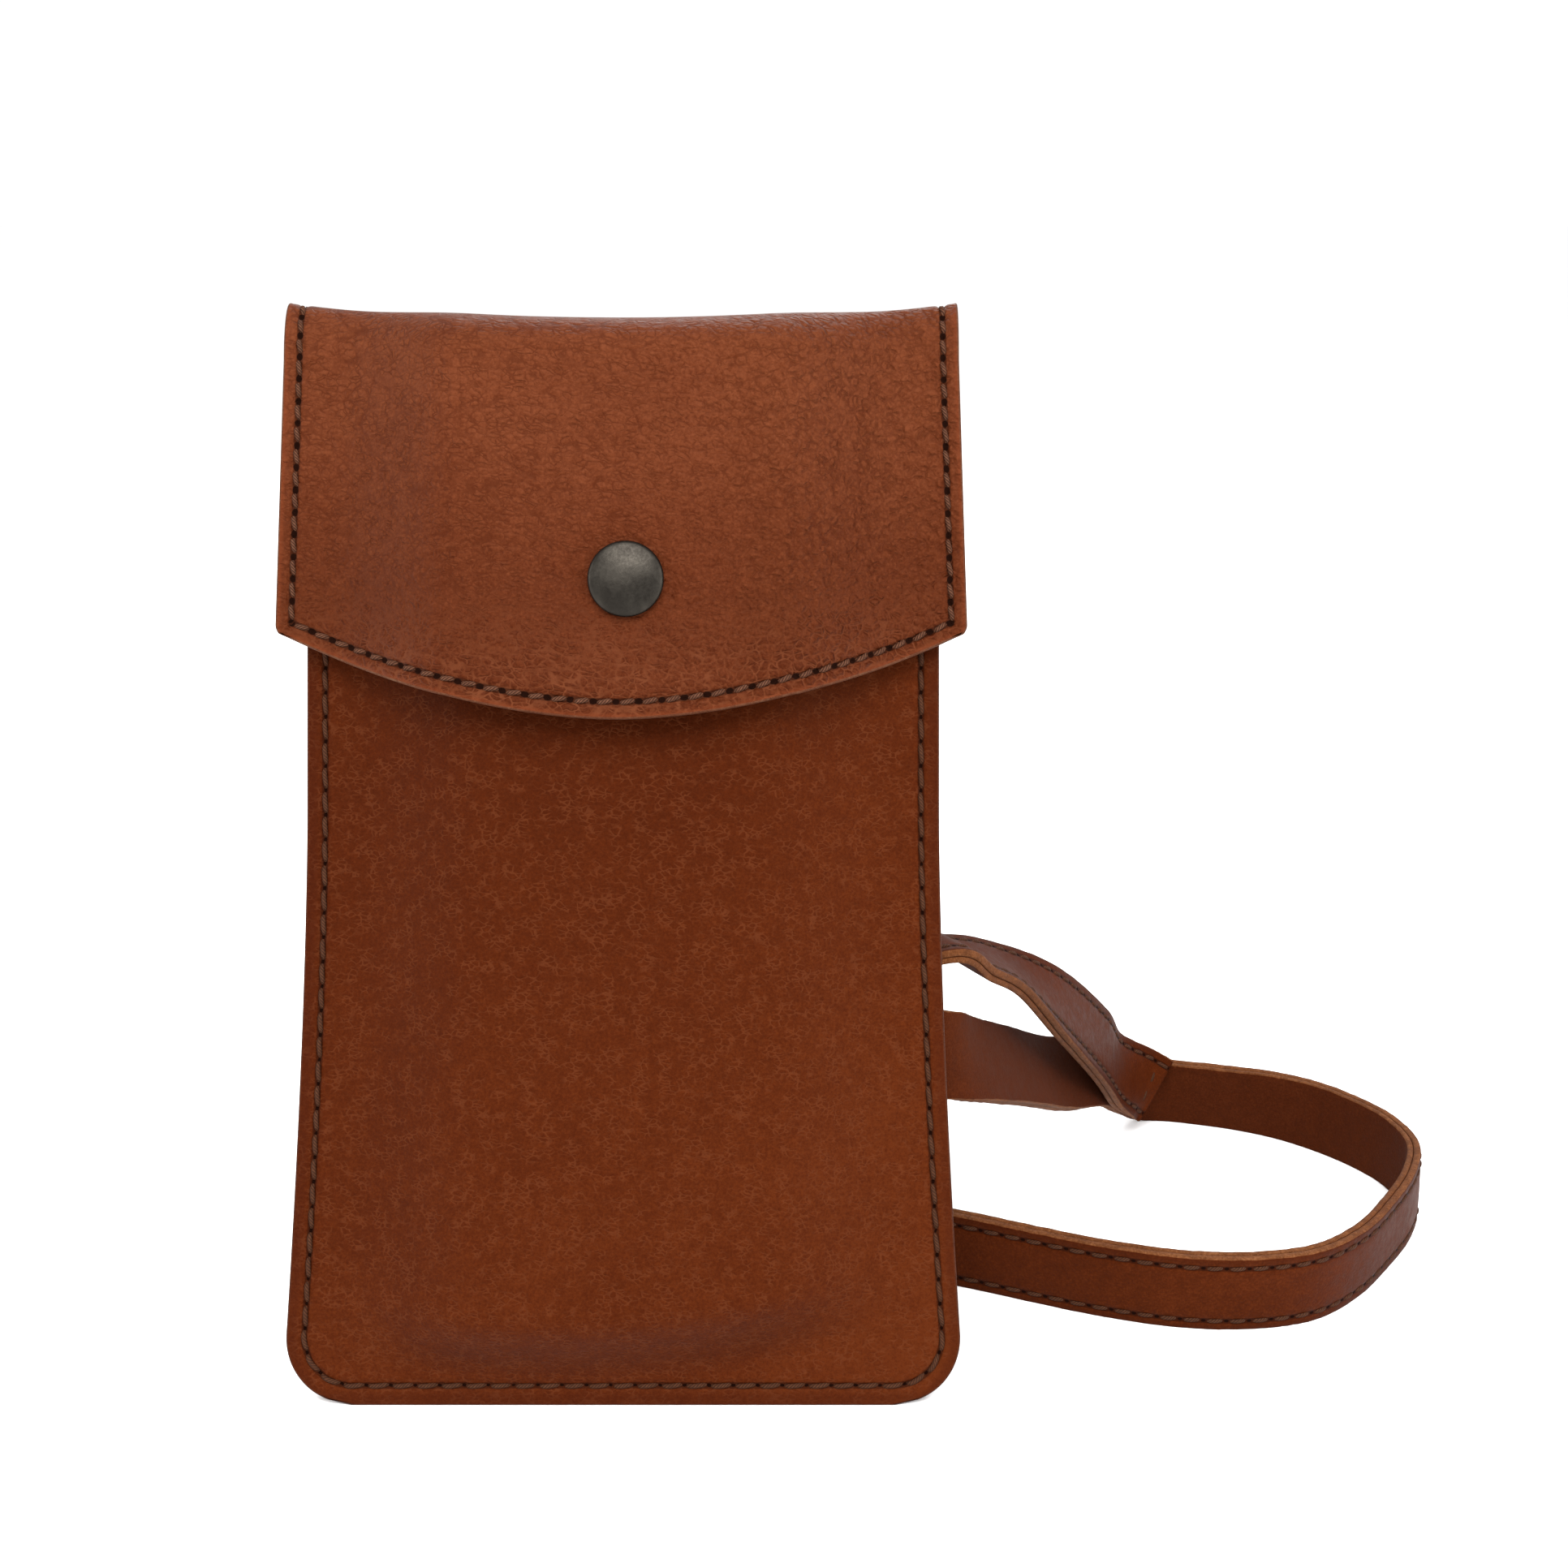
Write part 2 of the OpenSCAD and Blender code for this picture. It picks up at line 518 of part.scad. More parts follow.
// The one strip of strap leather is in four nodes, which meet at the join, behind the pouch
// and at the foot of the climb
eye_n = len(front_run) + len(eye(0, 0)) + len(rear_run) - 1;
floor_n = eye_n + len(join_run) + len(floor_run);
back_n = floor_n + len(hidden_run);
module strap_part(from_n, to_n) {
    color("saddlebrown") ribbon(-half_strap, half_strap, -full_t / 2, glue_line,
        from_n * curve_steps, to_n * curve_steps);
}
module strap_eye() { strap_part(0, eye_n); }
module strap() { strap_part(eye_n, floor_n); }
module strap_behind() { strap_part(floor_n, back_n); }
module strap_climb() { strap_part(back_n, way_n - 1); }
module strap_lining() {
    color("peru") ribbon(-half_strap, half_strap, glue_line + glue_t, full_t / 2);
}
// Two rows of thread, as fine ribs along the outer leather
module strap_thread() {
    row = half_strap - strap_inset;
    color("sienna") for (s = [-1, 1])
        ribbon(s * row - thread_d / 2, s * row + thread_d / 2, -full_t / 2 - thread_d, -full_t / 2 - clear);
}
// The cross seams that close the two eyes
join_steps = 3;
module strap_join_thread() {
    n = round((strap_w - 2 * strap_inset) / pitch);
    reach = half_strap - 2 * strap_inset;
    color("sienna") for (i = [join_steps, ring_n - 1 - join_steps])
        seam([for (k = [0 : n]) mid_line[i] + ring_across[i] * reach * (2 * k / n - 1)
            - ring_through[i] * (full_t / 2 + thread_d)]);
}

front_panel();
back_panel();
body_thread();
flap_tail();
flap_fold();
tail_thread();
flap();
flap_lining();
flap_thread();
snap_cap();
snap_socket();
snap_spring();
snap_stud();
snap_post();
belt_loop();
belt_loop_thread();
strap_eye();
strap();
strap_behind();
strap_climb();
strap_lining();
strap_thread();
strap_join_thread();
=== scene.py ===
"""A leather phone pouch with a snap flap and a shoulder strap.

On the pouch u runs across, v up its face and w through it, from front to back, and the pouch
leans back on its strap. Sizes are in millimetres until a mesh is made, which is in metres.
"""

import math

import bmesh
import bpy
import numpy as np
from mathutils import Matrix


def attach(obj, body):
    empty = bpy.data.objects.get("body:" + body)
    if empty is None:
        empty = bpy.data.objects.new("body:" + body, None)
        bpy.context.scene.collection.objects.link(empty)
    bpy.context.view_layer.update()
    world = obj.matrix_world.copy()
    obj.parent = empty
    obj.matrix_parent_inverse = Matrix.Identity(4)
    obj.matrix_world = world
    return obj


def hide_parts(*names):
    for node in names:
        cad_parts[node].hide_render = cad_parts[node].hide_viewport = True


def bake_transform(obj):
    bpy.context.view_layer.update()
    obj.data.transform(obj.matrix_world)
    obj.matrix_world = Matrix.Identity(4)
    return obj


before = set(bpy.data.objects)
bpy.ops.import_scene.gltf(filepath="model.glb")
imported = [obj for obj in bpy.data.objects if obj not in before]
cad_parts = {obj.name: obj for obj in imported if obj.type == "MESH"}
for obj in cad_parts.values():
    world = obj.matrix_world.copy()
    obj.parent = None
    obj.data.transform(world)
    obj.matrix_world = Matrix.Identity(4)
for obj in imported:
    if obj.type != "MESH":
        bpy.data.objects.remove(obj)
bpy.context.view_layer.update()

# Camera. It looks straight at the pouch's face, from a little above the middle and to the
# right, and its frame is square.
MM = 0.001
lean = math.radians(15)
camera_place = (26.3, -311.8, 188.5)
camera_data = bpy.data.cameras.new("camera")
camera_data.lens = 49.04
camera_data.sensor_width = 36
camera = bpy.data.objects.new("camera", camera_data)
camera.location = [MM * c for c in camera_place]
camera.rotation_euler = (math.pi / 2 - lean, 0, 0)
bpy.context.scene.collection.objects.link(camera)
bpy.context.scene.camera = camera

# Studio. A wide pale floor under a white sky. The strongest lamp stands in front and high up, so
# that the flap shades the body; weaker ones stand lower in front, at both sides and behind.
floor_reach = 30000
floor_tone = (0.95, 0.95, 0.95, 1)
sky_tone = (1, 1, 1, 1)
sky_strength = 1.06
lamp_aim = (0, 0, 90)
lamps = [
    # name, place, side of the square, power in watts
    ("key lamp", (40, -800, 1070), 780, 25.5),
    ("front lamp", (-250, -1000, 700), 500, 2),
    ("left lamp", (-1200, -350, 500), 700, 7),
    ("right lamp", (1100, -500, 600), 700, 10),
    ("back lamp", (250, 1000, 950), 900, 9),
]


def new_finish(name):
    """A new material, with its tree of nodes and its shader."""
    finish = bpy.data.materials.new(name)
    finish.use_nodes = True
    return finish, finish.node_tree, finish.node_tree.nodes["Principled BSDF"]


def feed(tree, made, inputs):
    """Give a shader node its fixed values and its links."""
    for key, value in inputs.items():
        if isinstance(value, bpy.types.NodeSocket):
            tree.links.new(value, made.inputs[key])
        else:
            made.inputs[key].default_value = value


floor_finish, floor_tree, floor_shader = new_finish("floor")
feed(floor_tree, floor_shader, {"Base Color": floor_tone, "Roughness": 0.9})
floor_corners = np.array([(-1, -1, 0), (1, -1, 0), (1, 1, 0), (-1, 1, 0)]) * floor_reach * MM
floor_mesh = bpy.data.meshes.new("floor")
floor_mesh.from_pydata(floor_corners.tolist(), [], [(0, 1, 2, 3)])
floor_mesh.materials.append(floor_finish)
floor = bpy.data.objects.new("floor", floor_mesh)
bpy.context.scene.collection.objects.link(floor)
world = bpy.data.worlds.new("studio sky")
world.use_nodes = True
sky = world.node_tree.nodes["Background"]
feed(world.node_tree, sky, {"Color": sky_tone, "Strength": sky_strength})
bpy.context.scene.world = world
bpy.context.scene.view_settings.view_transform = "Standard"
for lamp_name, lamp_place, lamp_side, lamp_power in lamps:
    lamp_data = bpy.data.lights.new(lamp_name, "AREA")
    lamp_data.size = lamp_side * MM
    lamp_data.energy = lamp_power
    lamp = bpy.data.objects.new(lamp_name, lamp_data)
    lamp.location = [MM * c for c in lamp_place]
    aim = np.array(lamp_aim) - np.array(lamp_place)
    lamp.rotation_euler = (math.atan2(math.hypot(aim[0], aim[1]), -aim[2]), 0,
                           math.atan2(aim[1], aim[0]) - math.pi / 2)
    bpy.context.scene.collection.objects.link(lamp)

# Front panel. One hide of smooth brown leather, cut to the body's outline, blocked outwards
# over a form and sewn to the back panel round its sides and bottom.
pouch_h = 180
waist_w = 103.4
base_w = 111.8
waist_v = 97  # above it the body is as wide as at its waist
corner_r = 11.5
flare_power = 1.6
hide_t = 1.8
margin_w = 5.5
shoulder_in = 4  # from a side to where the bulge starts, and then the width of its rise
shoulder_w = 30
low_shoulder_w = 22
bulge_low_u = -11  # the front bulge's lowest place, the bend of its lower line, and its roll
bulge_low_v = 1
bulge_curve = 0.0032
bulge_roll_h = 16
front_creases = [(10.6, 0.05, 27), (12.4, -0.03, 33), (14.3, 0.08, 38)]  # height, slope, left end
crease_depth = 0.16
crease_half_w = 0.4
front_bulge = 7.5
fold_h = 10
fold_v = pouch_h - fold_h
mouth_v = fold_v - 2 * hide_t
front_out = -hide_t / 2
seam_w = hide_t / 2
body_inset = 3
body_pitch = 4
edge_r = 0.35
edge_power = 0.6  # a half circle at 1, and squarer below
groove_depth = 0.24
groove_half_w = 0.7
hole_depth = 0.55
hole_half_w = 0.5
hole_long_share = 0.7
fine_step = 0.3  # between points along a seam, and to either side for a slope
search_parts = 60  # so that the search for the nearest seam takes little memory
far = 99.0  # stands for a distance at which no edge or seam shows
leather_gloss = (1, 0.45, 0.25, 1)
warp_share = 1.3  # how far the grain's cells are warped, in cells
tone_reach = 0.4  # how far the clouds go from the middle tone to the deepest and the palest
# Painted shade along the seams: the groove beside the thread and the needle holes are darkened.
groove_shade = 0.6
groove_shade_w = (0.42, 0.64)  # the groove's painted shade is darkest nearer than the first, and plain past the second
painted_light_x = (0.012, 0.046)  # metres across, between which a hide is painted paler to the right, as painted light from that side
deeper_x = (-0.005, 0.035)  # and those between which its grain turns deeper
body_deep = (0.026, 0.0035, 0.0004)
body_main = (0.036, 0.0055, 0.0008)
body_pale = (0.053, 0.0098, 0.0018)
body_rim = (0.020, 0.0026, 0.0008)
flesh_deep = (0.028, 0.0065, 0.0016)
flesh_main = (0.047, 0.0120, 0.0035)
flesh_pale = (0.072, 0.0210, 0.0070)
edge_deep = (0.018, 0.0035, 0.0012)
edge_main = (0.044, 0.0095, 0.0036)
edge_pale = (0.085, 0.0260, 0.0120)
# colour of the painted shade in the needle holes and the seam's groove
hole_shade_tone = (0.0045, 0.0012, 0.0008)


def step(x):
    """Smooth step: 3x^2 - 2x^3, with x held between 0 and 1."""
    x = np.clip(x, 0, 1)
    return x * x * (3 - 2 * x)


def at(u, v, w):
    """Places in space of u, v and w: the flat axes turned back by the lean about the floor line."""
    u, v, w = np.broadcast_arrays(u, v, w)
    back = v * math.sin(lean) + w * math.cos(lean)
    up = v * math.cos(lean) - w * math.sin(lean)
    return np.stack([u, back, up], -1).astype(float)


def side_u(v):
    """Half the body's width: even above the waist, and flared below by a power of the drop."""
    drop = np.maximum(waist_v - v, 0) / waist_v
    return waist_w / 2 + (base_w - waist_w) / 2 * drop**flare_power


def half_u(v):
    """Half the body's width with the two bottom corners cut to quarter circles."""
    drop = np.maximum(corner_r - v, 0)
    return side_u(v) - corner_r + np.sqrt(np.maximum(corner_r**2 - drop**2, 0))


def soft_step(x):
    """Softer step: 6x^5 - 15x^4 + 10x^3, with x held between 0 and 1."""
    x = np.clip(x, 0, 1)
    return x**3 * (10 - 15 * x + 6 * x * x)


def side_swell(u, v):
    """Share of a panel's bulge by one soft step in from its sides."""
    return soft_step((side_u(v) - abs(u) - shoulder_in) / shoulder_w)


def swell(u, v):
    """Share of a panel's bulge: one soft step in from the sides times one up from the bottom."""
    return side_swell(u, v) * soft_step((v - margin_w) / low_shoulder_w)


edge_rows = np.concatenate([[0, 0.7], np.arange(1, 6.6, 0.3)])
edge_places = np.concatenate([edge_rows, np.arange(7.5, 27.6, 1)])
middle_shares = np.linspace(1, -1, 56)[1:-1]
column_edge = np.concatenate([edge_places, np.full(len(middle_shares), far), edge_places[::-1]])


def columns(half):
    """Places across a panel, row by row: close together near both edges, even in the middle."""
    half = np.atleast_1d(half)[:, None]
    inner = half - edge_places[-1]
    return np.hstack([edge_places - half, -inner * middle_shares, (half - edge_places)[:, ::-1]])


def unit(a):
    """Directions of length one."""
    return a / np.linalg.norm(a, axis=-1, keepdims=True)


def normals(grid):
    """Outward directions of a grid of points: its rows' step across its columns' step."""
    out = np.cross(np.gradient(grid, axis=1), np.gradient(grid, axis=0))
    return out / np.maximum(np.linalg.norm(out, axis=-1, keepdims=True), 1e-9)


def arc_length(line):
    """Distance run along a line of points up to each of them."""
    return np.concatenate([[0], np.cumsum(np.linalg.norm(np.diff(line[:, :3], axis=0), axis=1))])


def even(line, distances):
    """Places and directions on a line of points at the given distances along it."""
    arc = arc_length(line)
    return np.stack([np.interp(distances, arc, column) for column in line.T], -1)


def stitch_length(line, pitch):
    """Length of a stitch near the pitch, of which a whole number fills the line."""
    full = arc_length(line)[-1]
    return full / max(round(full / pitch), 1)


def seam_places(points, lines, pitch):
    """Stitches run along the nearest seam and millimetres from it, for every point of a grid."""
    flat = points.reshape(-1, 3).astype(np.float32)
    found = np.tile(np.array([0, far], np.float32), (len(flat), 1))
    for line in lines:
        stitch = stitch_length(line, pitch)
        run = np.arange(0, arc_length(line)[-1], fine_step)
        thread = even(line, run)[:, :3].astype(np.float32)
        for part in np.array_split(np.arange(len(flat)), search_parts):
            gap = np.linalg.norm(flat[part, None] - thread[None], axis=-1)
            nearest = gap.argmin(1)
            away = gap[np.arange(len(part)), nearest]
            closer = away < found[part, 1]
            found[part[closer], 0] = run[nearest[closer]] / stitch
            found[part[closer], 1] = away[closer]
    return found.reshape(points.shape[:-1] + (2,))


def pressed(grid, seam, pitch):
    """The grid with the seam's groove and needle holes sunk in, as bell curves of the distance."""
    along, away = seam[..., 0], seam[..., 1]
    off_hole = np.hypot((along - np.round(along)) * pitch * hole_long_share, away)
    groove = groove_depth * np.exp(-((away / groove_half_w) ** 2))
    hole = hole_depth * np.exp(-((off_hole / hole_half_w) ** 2))
    return grid - normals(grid) * (groove + hole)[..., None]


def make_piece(name, points, quads, finishes, kinds=None, maps=None, edge=None):
    """A mesh piece in metres, from points in millimetres and faces of four corners."""
    mesh = bpy.data.meshes.new(name)
    mesh.from_pydata((points.reshape(-1, 3) * MM).tolist(), [], quads.tolist())
    for finish in finishes:
        mesh.materials.append(finish)
    if kinds is not None:
        mesh.polygons.foreach_set("material_index", kinds.astype(np.int32))
    mesh.polygons.foreach_set("use_smooth", np.ones(len(quads), bool))
    for map_name, values in (maps or {}).items():
        layer = mesh.uv_layers.new(name=map_name)
        layer.data.foreach_set("uv", values.reshape(-1, 2)[quads.ravel()].astype(np.float32).ravel())
    if edge is not None:
        worn = mesh.attributes.new("edge", "FLOAT", "POINT")
        worn.data.foreach_set("value", edge.astype(np.float32).ravel())
    mesh.update()
    piece = bpy.data.objects.new(name, mesh)
    bpy.context.scene.collection.objects.link(piece)
    return piece


def numbered(rows, cols):
    """The numbers of a grid's points."""
    return np.arange(rows * cols).reshape(rows, cols)


def tube_quads(a):
    """Corner numbers of the faces between closed rings of points, one ring to a row."""
    b = np.roll(a, -1, 1)
    return np.stack([a[:-1], a[1:], b[1:], b[:-1]], -1).reshape(-1, 4)


def leather_shell(name, face, back, finishes, seam=None, edge=None):
    """A closed sheet of leather between two equal grids of points.

    Both grids are drawn in at their border by the edge's radius. The cut edge runs between them:
    middle + c (face - back) / 2 + s (outward x radius), where c and s are a half circle's cosine
    and sine raised to a small power, so that the edge is nearly square with rounded corners.
    """
    a = numbered(*face.shape[:2])
    border = np.concatenate([a[0, :-1], a[:-1, -1], a[-1, :0:-1], a[:0:-1, 0]])
    face = face.reshape(-1, 3).copy()
    back = back.reshape(-1, 3).copy()
    across = (face - back)[border]
    ahead = np.roll(face[border], -1, 0) - np.roll(face[border], 1, 0)
    out = unit(np.cross(ahead, across))
    face[border] -= out * edge_r
    back[border] -= out * edge_r
    middle = (face[border] + back[border]) / 2
    angles = np.radians([25, 50, 75, 105, 130, 155])
    rings = [middle + np.sign(math.cos(t)) * abs(math.cos(t)) ** edge_power * across / 2
             + math.sin(t) ** edge_power * edge_r * out for t in angles]
    points = np.vstack([face, back] + rings)
    size = a.size
    count = len(border)
    face_quads = np.stack([a[:-1, :-1], a[:-1, 1:], a[1:, 1:], a[1:, :-1]], -1).reshape(-1, 4)
    back_quads = face_quads[:, ::-1] + size
    rim = tube_quads(np.vstack([border, 2 * size + numbered(len(rings), count), size + border]))
    quads = np.vstack([face_quads, back_quads, rim])
    kinds = np.repeat([0, 1, 2], [len(face_quads), len(back_quads), len(rim)])
    seam = np.tile([0.0, far], (size, 1)) if seam is None else seam.reshape(-1, 2)
    plain = np.tile([0.0, far], (size + len(rings) * count, 1))
    edge = np.full(size, far) if edge is None else edge.ravel()
    worn = np.concatenate([edge, edge, np.zeros(len(rings) * count)])
    return make_piece(name, points, quads, finishes, kinds, {"seam": np.vstack([seam, plain])}, worn)


def node(tree, kind, inputs=None, **settings):
    """A shader node with its settings, its fixed values and its links."""
    made = tree.nodes.new("ShaderNode" + kind)
    for key, value in settings.items():
        setattr(made, key, value)
    feed(tree, made, inputs or {})
    return made


def maths(tree, operation, *values):
    """One step of arithmetic on numbers."""
    return node(tree, "Math", dict(enumerate(values)), operation=operation).outputs[0]


def vectors(tree, operation, first, second):
    """One step of arithmetic on two places."""
    return node(tree, "VectorMath", {0: first, 1: second}, operation=operation).outputs[0]


def noise(tree, place, scale, detail=2.0, roughness=0.5):
    """Noise between 0 and 1, with a number of lumps to the metre."""
    lumps = {"Vector": place, "Scale": scale, "Detail": detail, "Roughness": roughness}
    return node(tree, "TexNoise", lumps).outputs[0]


def tilted(tree, place, degrees):
    """Places turned about the axis from front to back."""
    turn = {"Vector": place, "Angle": math.radians(degrees)}
    return node(tree, "VectorRotate", turn, rotation_type="Y_AXIS").outputs[0]


def mixed(tree, share, first, second):
    """Colour that goes from the first to the second by a share."""
    blend = node(tree, "Mix", {0: share, 6: first, 7: second}, data_type="RGBA")
    return blend.outputs[2]


def ranged(tree, value, low, high, from_low, from_high):
    """A value brought by a smooth step from one range into another."""
    made = node(tree, "MapRange", {0: value, 1: low, 2: high, 3: from_low, 4: from_high},
                interpolation_type="SMOOTHSTEP")
    return made.outputs[0]


def three_tones(tree, share, deep, main, pale, middle):
    """Colour that goes from deep through main, at the middle, to pale."""
    ramp = node(tree, "ValToRGB", {"Fac": share})
    ramp.color_ramp.elements[0].color = deep
    ramp.color_ramp.elements[1].color = pale
    ramp.color_ramp.elements.new(middle).color = main
    return ramp.outputs["Color"]


def net(tree, place, size, draw=(1, 1, 1), tilt=0.0):
    """Distance from the borders of cells of a size in millimetres, in shares of that size.

    The cells are warped by noise about two cells wide, turned by the tilt and drawn out.
    """
    cell = size * MM
    warp = node(tree, "TexNoise", {"Vector": place, "Scale": 0.5 / cell}).outputs["Color"]
    shift = vectors(tree, "SUBTRACT", warp, (0.5, 0.5, 0.5))
    shift = vectors(tree, "MULTIPLY", shift, (warp_share * cell,) * 3)
    warped = tilted(tree, vectors(tree, "ADD", place, shift), tilt)
    drawn = vectors(tree, "MULTIPLY", warped, draw)
    cells = node(tree, "TexVoronoi", {"Vector": drawn, "Scale": 1 / cell},
                 feature="DISTANCE_TO_EDGE")
    return cells.outputs["Distance"]


def even_grain(size):
    """A grain of one kind of cell all over."""
    return lambda tree, place: net(tree, place, size)


def leather(name, tones, grain, depth, roughness, pitch=4.0, valley=0.4, pores=0.00003, gloss=0.2,
            rim_tone=edge_deep, rim_share=0.5, rim_reach=1.6, hole_r=0.36, crease_w=0.13, gap_share=0.12,
            cloudy=0.4, fine_share=1.2, rise=0.0, low_z=0.0, high_z=0.17, painted_right_light=0.0, side_depth=1.0,
            pale_low=0.0, pale_line=None, line_z=(0.112, 0.135)):
    """A leather finish.

    Three tones are mixed by clouds about 15, 70, 2 and 0.5 mm wide. The tone shifts by rise
    between two heights, which is painted light and shade: on the flap lighter high and darker
    low, as light from above, and on the body darker high, partly as painted shadow of the flap
    and partly as the hide's own tone. The tone also turns paler towards the right by a share,
    which is painted light from that side. The grain sinks by smooth steps to the borders of its
    cells, where noise leaves gaps of the share gap_share, and more so towards the right by
    side_depth. Its borders are deep in tone, which is painted shade in the creases, and pale_line
    low on the piece. The finest clouds are the pores. The map "seam" darkens the groove and the
    needle holes with painted shade, and the attribute "edge" tints the rim.
    """
    finish, tree, shader = new_finish(name)
    deep, main, pale = [tone + (1,) for tone in tones]
    place = node(tree, "TexCoord").outputs["Object"]
    axes = node(tree, "SeparateXYZ", {0: place}).outputs
    across_x, height_z = axes[0], axes[2]
    flecks = noise(tree, place, 520.0, 4.0, 0.65)
    fine = noise(tree, place, 2200.0, 3.0, 0.7)
    clouds = [(noise(tree, place, 65.0, 4.0, 0.6), 0.4), (noise(tree, place, 14.0, 3.0), cloudy),
              (flecks, 0.5), (fine, fine_share)]
    tone = 0.0
    for cloud, share in clouds:
        tone = maths(tree, "MULTIPLY_ADD", cloud, share, tone)
    # Painted light: the tone turns paler towards the right, as light falling from that side.
    tone = maths(tree, "ADD", tone, ranged(tree, across_x, *painted_light_x, 0, painted_right_light))
    # Painted light and shade by height: on the flap lighter high and darker low, as light from above; on the
    # body darker high, partly as painted shadow of the flap.
    tone = maths(tree, "ADD", tone, ranged(tree, height_z, low_z, high_z, -rise, rise))
    middle_tone = sum(share for cloud, share in clouds) / 2
    tone = node(tree, "MapRange",
                {0: tone, 1: middle_tone - tone_reach, 2: middle_tone + tone_reach})
    ramp = three_tones(tree, tone.outputs[0], deep, main, pale, 0.5)

    from_border = grain(tree, place)
    broken = ranged(tree, noise(tree, place, 480.0, 1.0), 0.4, 0.62, gap_share, 1)
    # Painted shade: the borders of the grain's cells are darkened towards the line tone, as shade in the
    # creases; where pale_line takes over, low on a piece, they turn pale instead.
    furrow = maths(tree, "MULTIPLY", ranged(tree, from_border, crease_w * 0.3, crease_w, valley, 0), broken)
    sunk = maths(tree, "MULTIPLY", ranged(tree, from_border, 0, 0.3, 1, 0), broken)
    sunk = maths(tree, "MULTIPLY", sunk, ranged(tree, across_x, *deeper_x, 1, side_depth))

    seam_map = node(tree, "UVMap", uv_map="seam").outputs[0]
    along, away = node(tree, "SeparateXYZ", {0: seam_map}).outputs[:2]
    off_hole = maths(tree, "SUBTRACT", along, maths(tree, "ROUND", along))
    off_hole = maths(tree, "MULTIPLY", off_hole, pitch * hole_long_share)
    off_hole = node(tree, "CombineXYZ", {0: off_hole, 1: away}).outputs[0]
    off_hole = node(tree, "VectorMath", {0: off_hole}, operation="LENGTH").outputs["Value"]
    hole = ranged(tree, off_hole, hole_r * 0.75, hole_r, 1, 0)
    # Painted shade in the seam's groove and in the needle holes.
    dark = maths(tree, "MAXIMUM", ranged(tree, away, *groove_shade_w, groove_shade, 0), hole)
    from_edge = node(tree, "Attribute", attribute_name="edge").outputs["Fac"]
    rim = ranged(tree, from_edge, rim_reach * 0.4, rim_reach, rim_share, 0)

    low = ranged(tree, height_z, *line_z, pale_low, 0)
    line_tone = mixed(tree, low, deep, (pale_line or tones[2]) + (1,))
    colour = mixed(tree, furrow, ramp, line_tone)
    colour = mixed(tree, rim, colour, rim_tone + (1,))
    colour = mixed(tree, dark, colour, hole_shade_tone + (1,))
    polish = ranged(tree, flecks, 0.3, 0.7, roughness - 0.05, roughness + 0.07)
    skin = node(tree, "Bump", {"Distance": pores, "Strength": 1.0, "Height": fine})
    relief = node(tree, "Bump", {"Distance": depth * MM, "Strength": 1.0, "Height": sunk,
                                           "Normal": skin.outputs[0]}, invert=True)
    feed(tree, shader, {"Base Color": colour, "Roughness": maths(tree, "MAXIMUM", polish, dark),
                        "Normal": relief.outputs[0], "Specular IOR Level": gloss,
                        "Specular Tint": leather_gloss})
    return finish


def body_relief(tree, place):
    """The body's grain: short raised fibres, a little drawn out across."""
    return net(tree, place, 0.75, (0.5, 1, 1), -5.0)


# The body is painted darker towards its top, partly as shadow of the flap and partly as its own tone, and
# paler to the right as painted light.
body_grain = leather("body grain", (body_deep, body_main, body_pale), body_relief, 0.04, 0.62, valley=0.42,
                     pores=0.00009, gloss=0.07, rim_tone=body_rim, rim_reach=2.6, rim_share=0.4,
                     fine_share=1.35, rise=-0.15, high_z=0.13, painted_right_light=0.16,
                     pale_low=1.0, pale_line=(0.072, 0.0190, 0.0065), line_z=(0.19, 0.2))
body_flesh = leather("body flesh", (flesh_deep, flesh_main, flesh_pale), even_grain(0.5), 0.03, 0.85,
                     valley=0.1, pores=0.00012)
cut_edge = leather("cut edge", (edge_deep, edge_main, edge_pale), even_grain(0.35), 0.05, 0.62,
                   valley=0.5, pores=0.00015)
fine_rows = np.arange(1, 20, 0.4)


def body_rows(top):
    """Heights of a panel's rows: close together by the seam and the roll, then each millimetre."""
    return np.concatenate([[0, 0.7], fine_rows, np.arange(20.4, top - 1.2, 1), [top - 0.7, top]])


def front_depth(u, v):
    """How far the front panel stands out, in millimetres.

    The bulge is a share of two soft steps. The lower one starts on a parabola that is lowest left
    of the middle, where what was carried has rounded the bottom out. Three sines make it slightly
    uneven, and fine creases, bell-shaped across, run in from the lower right.
    """
    low = bulge_low_v + bulge_curve * (u - bulge_low_u) ** 2
    depth = front_bulge * side_swell(u, v) * soft_step((v - low) / bulge_roll_h)
    slow = np.sin(u / 12.5 + 1.1) * np.sin(v / 17 + 0.4)
    slanted = np.sin(u / 6.1 - v / 14)
    short = np.sin(u / 4.3 + v / 5.7 + 2)
    depth = depth + swell(u, v) * (0.32 * slow + 0.16 * slanted + 0.1 * short)
    for height, slope, left in front_creases:
        line = height + slope * (u - left) + 0.35 * np.sin(u / 2.3)
        along = step((u - left) / 6) * step((50 - u) / 5)
        depth = depth - crease_depth * np.exp(-(((v - line) / crease_half_w) ** 2)) * along
    return depth


def panel(rows, w, depth):
    """Grid of a panel's face: w plus how far it stands out, and its lowest row flat on the floor."""
    v = rows[:, None]
    u = columns(half_u(rows))
    v = np.where(v > 0, v, w * math.tan(lean))
    return at(u, v, w + depth(u, np.broadcast_to(v, u.shape)))


